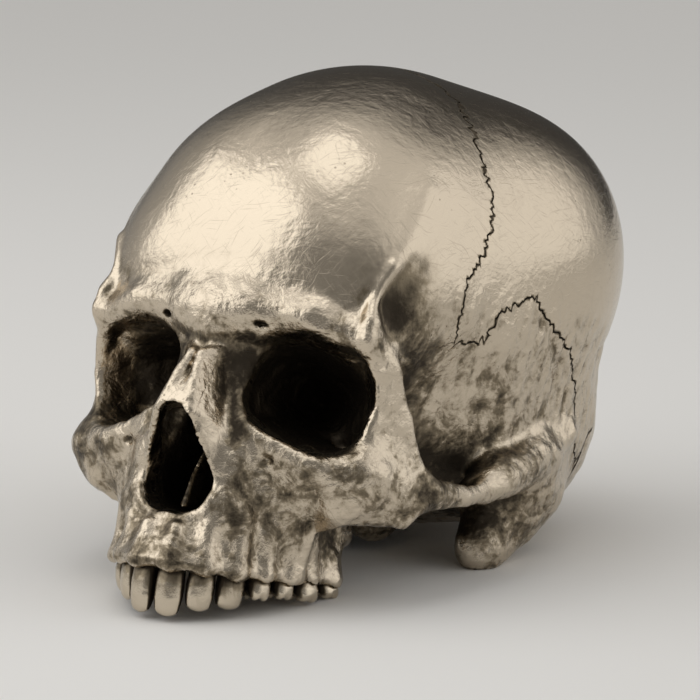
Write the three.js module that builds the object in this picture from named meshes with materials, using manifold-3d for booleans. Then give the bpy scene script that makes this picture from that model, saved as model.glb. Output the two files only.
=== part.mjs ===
// A life-size metal skull ornament without its lower jaw: hollow cast bones that meet at their
// sutures with a thin glue line, and fourteen teeth pegged into the upper jaw.
// Millimetres. Worked out with the ears level: x to the skull's left, the face towards -y, z up.
import * as THREE from "three";
import { mergeVertices } from "three/addons/utils/BufferGeometryUtils.js";
import Module from "manifold-3d";

const wasm = await Module();
wasm.setup();

// The greatest measures of the whole skull, from which every share below is taken
const skull = {
  breadth: 146, // over the parietal bosses
  length: 190, // front teeth to the back of the head
  height: 185, // biting edge to crown
};

const ringCount = 10; // points round a tooth
const archStepCount = 400;
const foramenSideCount = 24;
const earSideCount = 16;
const tiltStepCount = 6;

const casting = {
  wall: 4.2, // thickness of the braincase
  seam: 0.4, // glue line at a suture
  grind: 1.3, // depth of the flats it stands on
};

const dentalArch = {
  halfWidth: 29, // to the middle of the molars
  depth: 52, // from the widest place to the front teeth
  boneOut: 2.2, // bone in front of the row of teeth
  boneIn: 8.5, // bone behind it, to the palate's hollow
  boneHeight: 23,
};

const tooth = {
  root: 7, // peg above the neck
  space: 1.3, // between two crowns
  clearance: 0.3, // of the peg in its socket
};

// From the middle of the jaw outwards
const teethOfOneSide = [
  { name: "incisor_central", width: 7.8, depth: 6.8, crown: 14.8, form: "blade" },
  { name: "incisor_lateral", width: 7.6, depth: 6.3, crown: 12.3, form: "blade" },
  { name: "canine", width: 8, depth: 7.6, crown: 10.8, form: "blade" },
  { name: "premolar_first", width: 7.6, depth: 8.8, crown: 8.4, form: "block" },
  { name: "premolar_second", width: 7.6, depth: 9, crown: 7.4, form: "block" },
  { name: "molar_first", width: 9.6, depth: 10.4, crown: 7.4, form: "block" },
  { name: "molar_second", width: 9.4, depth: 10.4, crown: 5.9, form: "block" },
];

const nose = {
  halfWidth: 12, // of the pear-shaped opening
  height: 35,
  reach: 40, // depth of the recess behind it
  ridge: 3, // rounding of the bridge
  septum: 2.4, // thickness of the plate in its middle
};

const orbit = {
  halfWidth: 21,
  halfHeight: 18.6,
  depth: 42,
};

const foramen = { width: 29, length: 35, rim: 3.4 };
const earHole = { radius: 3.5, depth: 12 };

// Spacing of the nets of points that the surfaces are found on
const net = {
  face: 4.6, // for the bones with small forms
  faceAcross: 5.2,
  behindFace: 10.5,
  crown: 11.5, // for the plain bones of the back and the crown
  inside: 13, // for the hollow
};

// Places and sizes below are shares: x of the breadth, y of the length, z of the height.
// A blend is how far two forms flow into each other.

const braincaseShares = [
  { at: [0, 0.04, 0.303], half: [0.473, 0.453, 0.389], blend: 0 },
  { at: [0.123, -0.21, 0.314], half: [0.22, 0.195, 0.216], blend: 0.095 },
  { at: [0, -0.195, 0.254], half: [0.363, 0.226, 0.195], blend: 0.085 },
  { at: [0.205, -0.242, 0.26], half: [0.161, 0.147, 0.141], blend: 0.063 },
  { at: [0.233, 0.163, 0.395], half: [0.257, 0.242, 0.246], blend: 0.095 },
  { at: [0, 0.284, 0.14], half: [0.342, 0.2, 0.205], blend: 0.095 },
  { at: [0, 0.02, 0.086], half: [0.397, 0.326, 0.195], blend: 0.095 },
  { at: [0.26, 0.22, 0.108], half: [0.185, 0.19, 0.173], blend: 0.074 },
];
const undersideShares = { level: -0.076, slope: 0.2, blend: 0.042 };
const templeHollowShares = { at: [0.527, -0.2, 0.022], half: [0.199, 0.163, 0.2], blend: 0.047 };

const faceLumpShares = [
  { at: [0, -0.41, 0.195], half: [0.096, 0.063, 0.065], blend: 0 },
  { at: [0.13, -0.347, -0.08], half: [0.123, 0.1, 0.12], blend: 0.042 },
  { at: [0.205, -0.305, -0.05], half: [0.116, 0.084, 0.043], blend: 0.032 },
];
const faceBarShares = [
  {
    // brow and the outer pillar of the orbit
    points: [[0.082, -0.42, 0.2], [0.205, -0.415, 0.2], [0.308, -0.368, 0.173], [0.34, -0.332, 0.076]],
    radii: [0.045, 0.034, 0.03, 0.034],
    flat: [0.95, 1.1, 1],
    blend: 0.036,
  },
  {
    // lower rim of the orbit
    points: [[0.315, -0.353, -0.043], [0.233, -0.4, -0.038], [0.116, -0.426, 0.011]],
    radii: [0.041, 0.038, 0.031],
    flat: [1, 1, 1],
    blend: 0.032,
  },
  {
    // side of the nose
    points: [[0.068, -0.416, 0.119], [0.099, -0.442, -0.016], [0.103, -0.442, -0.14]],
    radii: [0.029, 0.034, 0.038],
    flat: [1, 1, 1],
    blend: 0.03,
  },
  {
    // body of the upper jaw out to the cheek
    points: [[0.192, -0.347, -0.065], [0.315, -0.326, -0.05]],
    radii: [0.075, 0.068],
    flat: [1, 1, 1],
    blend: 0.042,
  },
  {
    // cheek arch back to the ear
    points: [
      [0.356, -0.284, -0.054], [0.418, -0.22, -0.046], [0.445, -0.132, -0.027], [0.425, -0.026, 0.005],
    ],
    radii: [0.036, 0.031, 0.03, 0.033],
    flat: [0.75, 1, 1.15],
    blend: 0.026,
  },
];
const facePlateShares = [
  // cheek bone, then the outer and the inner wall of the orbit
  { from: [0.295, -0.363], to: [0.37, -0.268], level: -0.016, reach: 0.07, half: 0.017, blend: 0.032 },
  { from: [0.322, -0.326], to: [0.185, -0.195], level: 0.076, reach: 0.108, half: 0.013, blend: 0.032 },
  { from: [0.058, -0.42], to: [0.058, -0.24], level: 0.03, reach: 0.12, half: 0.018, blend: 0.021 },
];
const plateRoundShare = 0.02;

const bridgeShares = {
  top: { y: -0.44, z: 0.168 },
  tip: { y: -0.513, z: 0.038 },
  steepness: 1.15,
  halfWidth: 0.09,
  back: -0.347,
  round: 0.016,
  blend: 0.021,
};

const jawShares = {
  archCentre: -0.22,
  neckLevel: -0.222,
  archSlope: 0.03,
  back: -0.2,
  round: 0.026,
  reach: 0.333, // of the arch's half width and depth together, for one whole step of its ratio
};
const palateShares = { roof: -0.184, back: -0.158, round: 0.03 };

const mastoidShares = [
  {
    points: [[0.37, 0.126, 0], [0.35, 0.063, -0.119]],
    radii: [0.123, 0.058],
    flat: [0.75, 1, 1],
    blend: 0.042,
  },
  {
    points: [[0.425, -0.016, 0.011], [0.432, 0.116, 0.049]],
    radii: [0.031, 0.031],
    flat: [1, 1, 1],
    blend: 0.042,
  },
];
const skullBaseShares = [
  {
    // floor of the braincase in front of the spine
    points: [[0, -0.011, -0.065], [0, -0.2, -0.022]],
    radii: [0.075, 0.082],
    flat: [1, 1, 1],
    blend: 0.042,
  },
  {
    // rests for the neck on both sides of the spine
    points: [[0.082, 0.02, -0.105], [0.082, 0.085, -0.1]],
    radii: [0.04, 0.04],
    flat: [1, 1, 1],
    blend: 0.021,
  },
  {
    // inner and outer plate behind the jaw
    points: [[0.09, -0.2, -0.032], [0.103, -0.19, -0.16]],
    radii: [0.03, 0.024],
    flat: [0.8, 1.6, 1],
    blend: 0.026,
  },
  {
    points: [[0.103, -0.2, -0.054], [0.185, -0.175, -0.135]],
    radii: [0.03, 0.024],
    flat: [0.8, 1.2, 1.2],
    blend: 0.016,
  },
];
const faceBlendShare = 0.042;

const orbitShares = { at: [0.219, -0.421, 0.078], inwards: [-0.4, 0.915, -0.02], front: 0.158, blend: 0.013 };
const orbitRollDegrees = -17;
const squareness = { orbit: 3, noseSides: 3, noseFloor: 7, tooth: 2.5 };
const taperShares = { orbit: 1.8, orbitEnd: 0.02, nose: 1.6, noseSlope: 0.25, noseEnd: 0.1 };
const noseShares = { floor: -0.146, blend: 0.01 };

// Sutures as outlines seen from the side [y, z], from the front [x, z] or from above [x, y]
const frontalShares = [
  [-0.042, 0.81], [-0.058, 0.68], [-0.08, 0.625], [-0.105, 0.578], [-0.13, 0.52], [-0.142, 0.455],
  [-0.158, 0.395], [-0.184, 0.34], [-0.216, 0.297], [-0.22, 0.26], [-0.2, 0.205], [-0.253, 0.178],
  [-0.295, 0.14], [-0.337, 0.13], [-0.632, 0.145], [-0.632, 0.81],
];
const parietalShares = [
  [-0.316, 0.81], [-0.316, 0.205], [-0.2, 0.205], [-0.158, 0.21], [-0.126, 0.227], [-0.116, 0.265],
  [-0.063, 0.297], [-0.02, 0.308], [0.016, 0.28], [0.042, 0.254], [0.095, 0.232], [0.147, 0.195],
  [0.184, 0.157], [0.195, 0.097], [0.247, 0.05], [0.305, 0.14], [0.347, 0.238], [0.4, 0.335],
  [0.442, 0.432], [0.632, 0.486], [0.632, 0.81],
];
const temporalShares = [
  [-0.18, 0.324], [0.316, 0.324], [0.253, 0.032], [0.21, -0.065], [0.147, -0.243], [-0.18, -0.243],
];
const nasalShares = [[-0.01, 0.022], [0.048, 0.022], [0.04, 0.097], [0.036, 0.15], [-0.01, 0.15]];
const cheekFromAboveShares = [
  [0.219, -0.58], [0.233, -0.38], [0.28, -0.316], [0.322, -0.284], [0.37, -0.247], [0.397, -0.158],
  [0.616, -0.158], [0.616, -0.58],
];
const cheekFromFrontShares = [
  [0.226, 0.216], [0.219, -0.011], [0.247, -0.043], [0.28, -0.08], [0.322, -0.14], [0.616, -0.14],
  [0.616, 0.216],
];
const jawFromAboveShares = [
  [-0.01, -0.632], [0.274, -0.632], [0.274, -0.337], [0.178, -0.295], [-0.01, -0.295],
];
const vomerShares = [[-0.462, -0.158], [-0.42, -0.043], [-0.37, 0.01], [-0.25, 0.02], [-0.25, -0.158]];

const foramenTopShare = 0.02;
const earHoleShares = { y: -0.005, z: -0.012, x: 0.49 }; // middle and outer end
const cutShares = {
  temporalInner: 0.205, // of the breadth, from the middle
  nasalBack: -0.395,
  occipitalFront: -0.01,
  jawBack: -0.21,
  jawTop: -0.01,
};

const metal = {
  bone: { color: 0xa69b84, roughness: 0.38, metalness: 0.9 },
  tooth: { color: 0xb3a78c, roughness: 0.34, metalness: 0.9 },
};

const scaleOf = [skull.breadth, skull.length, skull.height];
const place = (shares) => shares.map((share, axis) => share * scaleOf[axis]);
const clamp01 = (t) => Math.min(Math.max(t, 0), 1);

// Two distances joined, with a fillet of the given reach
function join(a, b, reach) {
  if (reach <= 0) return Math.min(a, b);
  const h = clamp01(0.5 + (0.5 * (b - a)) / reach);
  return b + (a - b) * h - reach * h * (1 - h);
}
const keepBoth = (a, b, reach) => -join(-a, -b, reach);
const cutAway = (a, b, reach) => keepBoth(a, -b, reach);

// Each form below is a function of a point that is negative inside the form

function egg({ at, half }) {
  const centre = place(at);
  const radii = place(half);
  return (x, y, z) => {
    const u = (x - centre[0]) / radii[0];
    const v = (y - centre[1]) / radii[1];
    const w = (z - centre[2]) / radii[2];
    const size = Math.hypot(u, v, w);
    const slope = Math.hypot(u / radii[0], v / radii[1], w / radii[2]);
    return slope > 0 ? (size * (size - 1)) / slope : -Math.min(...radii);
  };
}

function bar({ points, radii, flat }) {
  const stops = points.map(place);
  const thick = radii.map((share) => share * skull.breadth);
  return (x, y, z) => {
    let best = Infinity;
    for (let i = 0; i + 1 < stops.length; i++) {
      const [ax, ay, az] = stops[i];
      const run = [stops[i + 1][0] - ax, stops[i + 1][1] - ay, stops[i + 1][2] - az];
      const along = (x - ax) * run[0] + (y - ay) * run[1] + (z - az) * run[2];
      const t = clamp01(along / (run[0] ** 2 + run[1] ** 2 + run[2] ** 2));
      const off = Math.hypot(
        (x - ax - t * run[0]) / flat[0],
        (y - ay - t * run[1]) / flat[1],
        (z - az - t * run[2]) / flat[2],
      );
      best = Math.min(best, off - thick[i] - t * (thick[i + 1] - thick[i]));
    }
    return best;
  };
}

function plate({ from, to, level, reach, half }) {
  const [ax, ay] = place(from);
  const [bx, by] = place(to);
  const run = [bx - ax, by - ay];
  const round = plateRoundShare * skull.length;
  return (x, y, z) => {
    const t = clamp01(((x - ax) * run[0] + (y - ay) * run[1]) / (run[0] ** 2 + run[1] ** 2));
    const side = Math.hypot(x - ax - t * run[0], y - ay - t * run[1]) - half * skull.breadth;
    return keepBoth(side, Math.abs(z - level * skull.height) - reach * skull.height, round);
  };
}

// A list of forms melted into one, each with its own blend
function melt(forms) {
  return (x, y, z) => {
    let d = forms[0].form(x, y, z);
    for (const { form, blend } of forms.slice(1)) d = join(d, form(x, y, z), blend * skull.length);
    return d;
  };
}
const formed = (make, rows) => rows.map((row) => ({ form: make(row), blend: row.blend }));

function bridgeOfNose(x, y, z) {
  const { top, tip, steepness, halfWidth, back, round } = bridgeShares;
  const reach = round * skull.length;
  const down = (z - top.z * skull.height) / ((tip.z - top.z) * skull.height);
  const ridge = (top.y + (tip.y - top.y) * down) * skull.length;
  const roof = ridge + steepness * (Math.hypot(x, nose.ridge) - nose.ridge);
  let d = (roof - y) / Math.hypot(1, steepness);
  d = keepBoth(d, x - halfWidth * skull.breadth, reach);
  d = keepBoth(d, z - top.z * skull.height, reach);
  return keepBoth(d, Math.max(tip.z * skull.height - z, y - back * skull.length), nose.ridge);
}

// How far out a place lies from the middle of the dental arch: 1 on the row of teeth
function archRatio(x, y) {
  const along = Math.min(y - jawShares.archCentre * skull.length, 0);
  return Math.hypot(x / dentalArch.halfWidth, along / dentalArch.depth);
}
const archReach = (dentalArch.halfWidth + dentalArch.depth) * jawShares.reach;
const archFront = jawShares.archCentre * skull.length - dentalArch.depth;
const neckAt = (y) => jawShares.neckLevel * skull.height + jawShares.archSlope * (y - archFront);

function toothBearingBone(x, y, z) {
  const round = jawShares.round * skull.length;
  const outside = (archRatio(x, y) - 1) * archReach - dentalArch.boneOut;
  const low = neckAt(y);
  const level = Math.abs(z - low - dentalArch.boneHeight / 2) - dentalArch.boneHeight / 2;
  return keepBoth(keepBoth(outside, level, round), y - jawShares.back * skull.length, round);
}

function palateHollow(x, y, z) {
  const round = palateShares.round * skull.length;
  const inside = (archRatio(x, y) - 1) * archReach + dentalArch.boneIn;
  const under = keepBoth(inside, z - palateShares.roof * skull.height, round);
  return Math.max(under, y - palateShares.back * skull.length);
}

function orbitHollow() {
  const [cx, cy, cz] = place(orbitShares.at);
  const inwards = new THREE.Vector3(...orbitShares.inwards).normalize();
  const level = new THREE.Vector3(0, 0, 1).cross(inwards).negate().normalize();
  const upright = inwards.clone().cross(level);
  if (upright.z < 0) upright.negate();
  const roll = THREE.MathUtils.degToRad(orbitRollDegrees);
  const mean = (orbit.halfWidth + orbit.halfHeight) / 2;
  const p = new THREE.Vector3();
  return (x, y, z) => {
    p.set(x - cx, y - cy, z - cz);
    const t = p.dot(inwards);
    const a = p.dot(level);
    const b = p.dot(upright);
    const shrink = Math.max(1 - clamp01(t / orbit.depth) ** taperShares.orbit, taperShares.orbitEnd);
    const u = Math.abs(Math.cos(roll) * a + Math.sin(roll) * b) / (orbit.halfWidth * shrink);
    const v = Math.abs(Math.cos(roll) * b - Math.sin(roll) * a) / (orbit.halfHeight * shrink);
    const ratio = (u ** squareness.orbit + v ** squareness.orbit) ** (1 / squareness.orbit);
    return Math.max((ratio - 1) * mean * shrink, t - orbit.depth, -t - orbitShares.front * skull.length);
  };
}

function noseHollow(x, y, z) {
  const floor = noseShares.floor * skull.height;
  const rise = clamp01((z - floor) / nose.height);
  const narrowing = Math.sqrt(1 - rise ** taperShares.nose) * (1 - rise * taperShares.noseSlope);
  const half = nose.halfWidth * Math.max(narrowing, taperShares.noseEnd);
  const up = Math.abs(z - floor - nose.height / 2) / (nose.height / 2);
  const side = (Math.abs(x) / half) ** squareness.noseSides;
  const ratio = (side + up ** squareness.noseFloor) ** (1 / squareness.noseSides);
  return Math.max((ratio - 1) * half, y - archFront - dentalArch.boneOut - nose.reach);
}

const braincase = melt(formed(egg, braincaseShares));
const face = melt([
  ...formed(egg, faceLumpShares),
  ...formed(bar, faceBarShares),
  ...formed(plate, facePlateShares),
  { form: bridgeOfNose, blend: bridgeShares.blend },
  { form: toothBearingBone, blend: faceBlendShare },
]);
const mastoids = melt(formed(bar, mastoidShares));
const skullBase = melt(formed(bar, skullBaseShares));
const templeHollow = egg(templeHollowShares);
const orbitCone = orbitHollow();

function wholeSkull(signedX, y, z) {
  const x = Math.abs(signedX);
  const blend = faceBlendShare * skull.length;
  const { level, slope } = undersideShares;
  let d = braincase(x, y, z);
  d = keepBoth(d, level * skull.height - z - slope * y, undersideShares.blend * skull.length);
  d = cutAway(d, templeHollow(x, y, z), templeHollowShares.blend * skull.length);
  d = join(d, face(x, y, z), blend);
  d = join(d, mastoids(x, y, z), blend);
  d = join(d, skullBase(x, y, z), blend);
  d = cutAway(d, palateHollow(x, y, z), palateShares.round * skull.length / 2);
  d = cutAway(d, orbitCone(x, y, z), orbitShares.blend * skull.length);
  return cutAway(d, noseHollow(x, y, z), noseShares.blend * skull.length);
}

// The hollow of the braincase stays one wall away from every outer surface
function brainHollow(x, y, z) {
  return Math.max(wholeSkull(x, y, z), braincase(Math.abs(x), y, z)) + casting.wall;
}

// Net lines from below low to high, close together where isFine is true
function netLines(low, high, isFine, fine, coarse) {
  const lines = [low - coarse, low];
  while (lines.at(-1) < high) {
    const last = lines.at(-1);
    lines.push(last + (isFine(last) ? fine : coarse));
  }
  return lines;
}

// Net lines a like distance apart, about the one given
function evenLines(low, high, about) {
  const spacing = (high - low) / Math.round((high - low) / about);
  return netLines(low, high - spacing / 2, () => true, spacing, spacing);
}

// The eight corners of a net cell, by bit, and the pairs that an edge joins
const corners = [0, 1, 2, 3, 4, 5, 6, 7].map((bit) => [bit & 1, (bit >> 1) & 1, bit >> 2]);
const cellEdges = corners.flatMap((_, a) => [1, 2, 4].filter((bit) => !(a & bit)).map((bit) => [a, a | bit]));

// Whether the corners of one kind in a cell hang together along its edges
function together(mask) {
  const start = corners.findIndex((_, bit) => (mask >> bit) & 1);
  if (start < 0) return true;
  let reached = 1 << start;
  for (let step = 0; step < corners.length; step++) {
    for (const [a, b] of cellEdges) {
      if (!((mask >> a) & (mask >> b) & 1)) continue;
      if (((reached >> a) | (reached >> b)) & 1) reached |= (1 << a) | (1 << b);
    }
  }
  return reached === mask;
}
const allCorners = (1 << corners.length) - 1;
const soundCell = Array.from({ length: allCorners + 1 }, (_, m) => together(m) && together(allCorners ^ m));

// The closed surface on which a form's function is zero, as points and triangles
function surfaceOf(form, [xs, ys, zs]) {
  const index = (i, j, k) => (i * ys.length + j) * zs.length + k;
  const value = new Float64Array(xs.length * ys.length * zs.length);
  xs.forEach((x, i) => ys.forEach((y, j) => zs.forEach((z, k) => (value[index(i, j, k)] = form(x, y, z)))));
  const cornerOf = (i, j, k, bit) => index(i + corners[bit][0], j + corners[bit][1], k + corners[bit][2]);
  const eachCell = (visit) => {
    for (let i = 0; i + 1 < xs.length; i++)
      for (let j = 0; j + 1 < ys.length; j++) for (let k = 0; k + 1 < zs.length; k++) visit(i, j, k);
  };
  const isInside = (i, j, k, bit) => value[cornerOf(i, j, k, bit)] < 0;
  const maskOf = (i, j, k) => corners.reduce((m, _, bit) => m | (isInside(i, j, k, bit) << bit), 0);

  // A cell that two sheets would pass is filled at its nearest corner until one sheet is left
  for (let changed = true; changed; ) {
    changed = false;
    eachCell((i, j, k) => {
      if (soundCell[maskOf(i, j, k)]) return;
      const open = corners.map((_, bit) => cornerOf(i, j, k, bit)).filter((c) => value[c] >= 0);
      const nearest = open.reduce((a, b) => (value[b] < value[a] ? b : a));
      value[nearest] = -Math.max(value[nearest], Number.EPSILON);
      changed = true;
    });
  }

  const points = [];
  const pointOfCell = new Map();
  eachCell((i, j, k) => {
    const mask = maskOf(i, j, k);
    if (mask === 0 || mask === allCorners) return;
    const sum = [0, 0, 0];
    let count = 0;
    for (const [a, b] of cellEdges) {
      if (((mask >> a) & 1) === ((mask >> b) & 1)) continue;
      const va = value[cornerOf(i, j, k, a)];
      const vb = value[cornerOf(i, j, k, b)];
      const t = va / (va - vb);
      [xs, ys, zs].forEach((lines, axis) => {
        const cell = [i, j, k][axis];
        const from = lines[cell + corners[a][axis]];
        sum[axis] += from + t * (lines[cell + corners[b][axis]] - from);
      });
      count++;
    }
    pointOfCell.set(index(i, j, k), points.length / 3);
    points.push(...settle(form, sum.map((s) => s / count), xs[i + 1] - xs[i]));
  });

  const triangles = [];
  const quad = (cells, flip) => {
    const [a, b, c, d] = (flip ? cells.reverse() : cells).map((cell) => pointOfCell.get(cell));
    const span = (p, q) => Math.hypot(...[0, 1, 2].map((n) => points[3 * p + n] - points[3 * q + n]));
    if (span(a, c) < span(b, d)) triangles.push(a, b, c, a, c, d);
    else triangles.push(a, b, d, b, c, d);
  };
  for (let i = 1; i + 1 < xs.length; i++) {
    for (let j = 1; j + 1 < ys.length; j++) {
      for (let k = 1; k + 1 < zs.length; k++) {
        const here = value[index(i, j, k)] < 0;
        if (here !== value[index(i + 1, j, k)] < 0)
          quad([index(i, j - 1, k - 1), index(i, j, k - 1), index(i, j, k), index(i, j - 1, k)], !here);
        if (here !== value[index(i, j + 1, k)] < 0)
          quad([index(i - 1, j, k - 1), index(i - 1, j, k), index(i, j, k), index(i, j, k - 1)], !here);
        if (here !== value[index(i, j, k + 1)] < 0)
          quad([index(i - 1, j - 1, k), index(i, j - 1, k), index(i, j, k), index(i - 1, j, k)], !here);
      }
    }
  }
  return solidFrom(new Float32Array(points), new Uint32Array(triangles));
}

const slopeShares = { least: 0.25, corner: 0.5 };

// A point moved onto the surface along the steepest way, by no more than part of its cell
function settle(form, point, cell) {
  const step = cell / 100;
  let [x, y, z] = point;
  for (let round = 0; round < 2; round++) {
    const d = form(x, y, z);
    const gx = (form(x + step, y, z) - d) / step;
    const gy = (form(x, y + step, z) - d) / step;
    const gz = (form(x, y, z + step) - d) / step;
    const slope = Math.max(gx * gx + gy * gy + gz * gz, slopeShares.least);
    const move = THREE.MathUtils.clamp(d / slope, -cell / 4, cell / 4);
    x -= move * gx;
    y -= move * gy;
    z -= move * gz;
  }
  return [x, y, z];
}

function solidFrom(vertProperties, triVerts) {
  return new wasm.Manifold(new wasm.Mesh({ numProp: 3, vertProperties, triVerts }));
}

function solidOf(geometry) {
  geometry.deleteAttribute("normal");
  geometry.deleteAttribute("uv");
  const merged = mergeVertices(geometry);
  return solidFrom(new Float32Array(merged.attributes.position.array), new Uint32Array(merged.index.array));
}

// The largest of a solid's bodies: a cut can leave crumbs at a thin edge
function mainBody(solid) {
  return solid.decompose().reduce((a, b) => (b.volume() > a.volume() ? b : a));
}

// An outline with each side moved out by the same distance
function widened(outline, by) {
  const area = outline.reduce((sum, [u, v], n) => {
    const [s, t] = outline[(n + 1) % outline.length];
    return sum + u * t - s * v;
  }, 0);
  const out = Math.sign(area) * by;
  return outline.map(([u, v], n) => {
    const before = outline.at(n - 1);
    const after = outline[(n + 1) % outline.length];
    const a = new THREE.Vector2(v - before[1], before[0] - u).normalize();
    const b = new THREE.Vector2(after[1] - v, u - after[0]).normalize();
    const reach = out / Math.max((1 + a.dot(b)) / 2, slopeShares.corner);
    return [u + ((a.x + b.x) / 2) * reach, v + ((a.y + b.y) / 2) * reach];
  });
}

// How an outline seen along each axis stands in the skull: its two directions and its depth
const seenFrom = {
  side: { axes: [1, 2], turn: [[0, 1, 0], [0, 0, 1], [1, 0, 0]] },
  above: { axes: [0, 1], turn: [[1, 0, 0], [0, 1, 0], [0, 0, 1]] },
  front: { axes: [0, 2], turn: [[1, 0, 0], [0, 0, 1], [0, -1, 0]] },
};

// The prism on an outline between two depths along the line of sight, grown by a margin
function prism(view, shares, [from, to], margin) {
  const { axes, turn } = seenFrom[view];
  const outline = widened(shares.map((pair) => pair.map((share, n) => share * scaleOf[axes[n]])), margin);
  const shape = new THREE.Shape(outline.map(([u, v]) => new THREE.Vector2(u, v)));
  const depth = to - from + 2 * margin;
  const geometry = new THREE.ExtrudeGeometry(shape, { depth, bevelEnabled: false });
  const start = view === "front" ? -to - margin : from - margin;
  geometry.translate(0, 0, start);
  geometry.applyMatrix4(new THREE.Matrix4().makeBasis(...turn.map((row) => new THREE.Vector3(...row))));
  return solidOf(geometry);
}
const everywhere = [-skull.length, skull.length];

const leftSide = [casting.seam / 2, skull.breadth];
const far = { low: -1, high: 1 }; // shares that lie beyond every form
const boxShares = (a, b, c, d) => [[a, c], [b, c], [b, d], [a, d]];
const leftHalf = (m) => prism("side", boxShares(far.low, far.high, far.low, far.high), leftSide, m);
const mirrored = (region) => (m) => region(m).mirror([1, 0, 0]);

const regions = {
  nasal: (m) => {
    const front = [-skull.length, cutShares.nasalBack * skull.length];
    return prism("front", nasalShares, front, m).intersect(leftHalf(m));
  },
  frontal: (m) => prism("side", frontalShares, everywhere, m),
  parietal: (m) => prism("side", parietalShares, leftSide, m),
  temporal: (m) => prism("side", temporalShares, [cutShares.temporalInner * skull.breadth, skull.breadth], m),
  occipital: (m) => {
    const { occipitalFront } = cutShares;
    return prism("side", boxShares(occipitalFront, far.high, far.low, far.high), everywhere, m);
  },
  cheek: (m) => {
    const fromAbove = prism("above", cheekFromAboveShares, everywhere, m);
    return fromAbove.intersect(prism("front", cheekFromFrontShares, everywhere, m));
  },
  jaw: (m) => {
    const { jawBack, jawTop } = cutShares;
    const low = prism("side", boxShares(far.low, jawBack, far.low, jawTop), leftSide, m);
    return low.add(prism("above", jawFromAboveShares, everywhere, m)).intersect(leftHalf(m));
  },
};

// Rings of a tooth from the biting edge to the tip of the peg: height as a share of the crown up to
// the neck and of the root beyond it, then the shares of the width and of the depth
const crownShares = {
  blade: [[0, 0.82, 0.25], [0.12, 0.98, 0.5], [0.55, 1, 0.9], [1, 0.82, 0.96]],
  block: [[0, 0.72, 0.62], [0.15, 0.96, 0.92], [0.6, 1, 1], [1, 0.86, 0.9]],
};
const rootShares = [[0.4, 0.66, 0.74], [1, 0.4, 0.5]];

function toothSolid(spot, margin) {
  const { kind, x, y, along } = spot;
  const neck = neckAt(y);
  const rings = [
    ...crownShares[kind.form].map(([h, w, d]) => [neck - kind.crown * (1 - h), w, d]),
    ...rootShares.map(([h, w, d]) => [neck + tooth.root * h, w, d]),
  ];
  const points = [];
  rings.forEach(([z, w, d], ring) => {
    const end = ring === 0 ? -margin : ring === rings.length - 1 ? margin : 0;
    for (let n = 0; n < ringCount; n++) {
      const turn = (n / ringCount) * 2 * Math.PI;
      const round = (c) => Math.sign(c) * Math.abs(c) ** (2 / squareness.tooth);
      const a = round(Math.cos(turn)) * ((kind.width * w) / 2 + margin);
      const o = round(Math.sin(turn)) * ((kind.depth * d) / 2 + margin);
      points.push(x + a * along.x - o * along.y, y + a * along.y + o * along.x, z + end);
    }
  });
  const triangles = [];
  for (let ring = 0; ring + 1 < rings.length; ring++) {
    for (let n = 0; n < ringCount; n++) {
      const a = ring * ringCount + n;
      const b = ring * ringCount + ((n + 1) % ringCount);
      triangles.push(a, b, b + ringCount, a, b + ringCount, a + ringCount);
    }
  }
  const last = (rings.length - 1) * ringCount;
  for (let n = 1; n + 1 < ringCount; n++) {
    triangles.push(0, n + 1, n);
    triangles.push(last, last + n, last + n + 1);
  }
  return solidFrom(new Float32Array(points), new Uint32Array(triangles));
}

// Where each tooth of the left side stands on the arch, and the way the arch runs there
function toothSpots() {
  const centre = jawShares.archCentre * skull.length;
  const walk = [{ x: 0, y: archFront, s: 0 }];
  for (let n = 1; n <= archStepCount; n++) {
    const turn = ((n / archStepCount) * Math.PI) / 2;
    const x = dentalArch.halfWidth * Math.sin(turn);
    const y = centre - dentalArch.depth * Math.cos(turn);
    const last = walk.at(-1);
    walk.push({ x, y, s: last.s + Math.hypot(x - last.x, y - last.y) });
  }
  const end = walk.at(-1);
  let start = tooth.space / 2;
  return teethOfOneSide.map((kind) => {
    const middle = start + kind.width / 2;
    start += kind.width + tooth.space;
    const n = walk.findIndex((step) => step.s >= middle);
    if (n < 0) return { kind, x: end.x, y: centre + middle - end.s, along: new THREE.Vector2(0, 1) };
    const along = new THREE.Vector2(walk[n].x - walk[n - 1].x, walk[n].y - walk[n - 1].y).normalize();
    return { kind, x: walk[n].x, y: walk[n].y, along };
  });
}

// The whole skull as one hollow casting, before it is parted into bones
const netShares = {
  low: [-0.56, -0.56, -0.3],
  high: [0.56, 0.56, 0.76],
  faceBack: -0.16,
  faceTop: 0.22,
  beforeArch: 0.12, // of the arch's depth, in front of it
};
const low = place(netShares.low);
const high = place(netShares.high);
low[1] = Math.min(low[1], archFront - dentalArch.depth * netShares.beforeArch);
const isFace = (y) => y < netShares.faceBack * skull.length;
const isLow = (z) => z < netShares.faceTop * skull.height;
const faceNet = [
  evenLines(low[0], high[0], net.faceAcross),
  netLines(low[1], high[1], isFace, net.face, net.behindFace),
  netLines(low[2], high[2], isLow, net.face, net.behindFace),
];
const evenNet = (about) => low.map((from, axis) => evenLines(from, high[axis], about));

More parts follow.
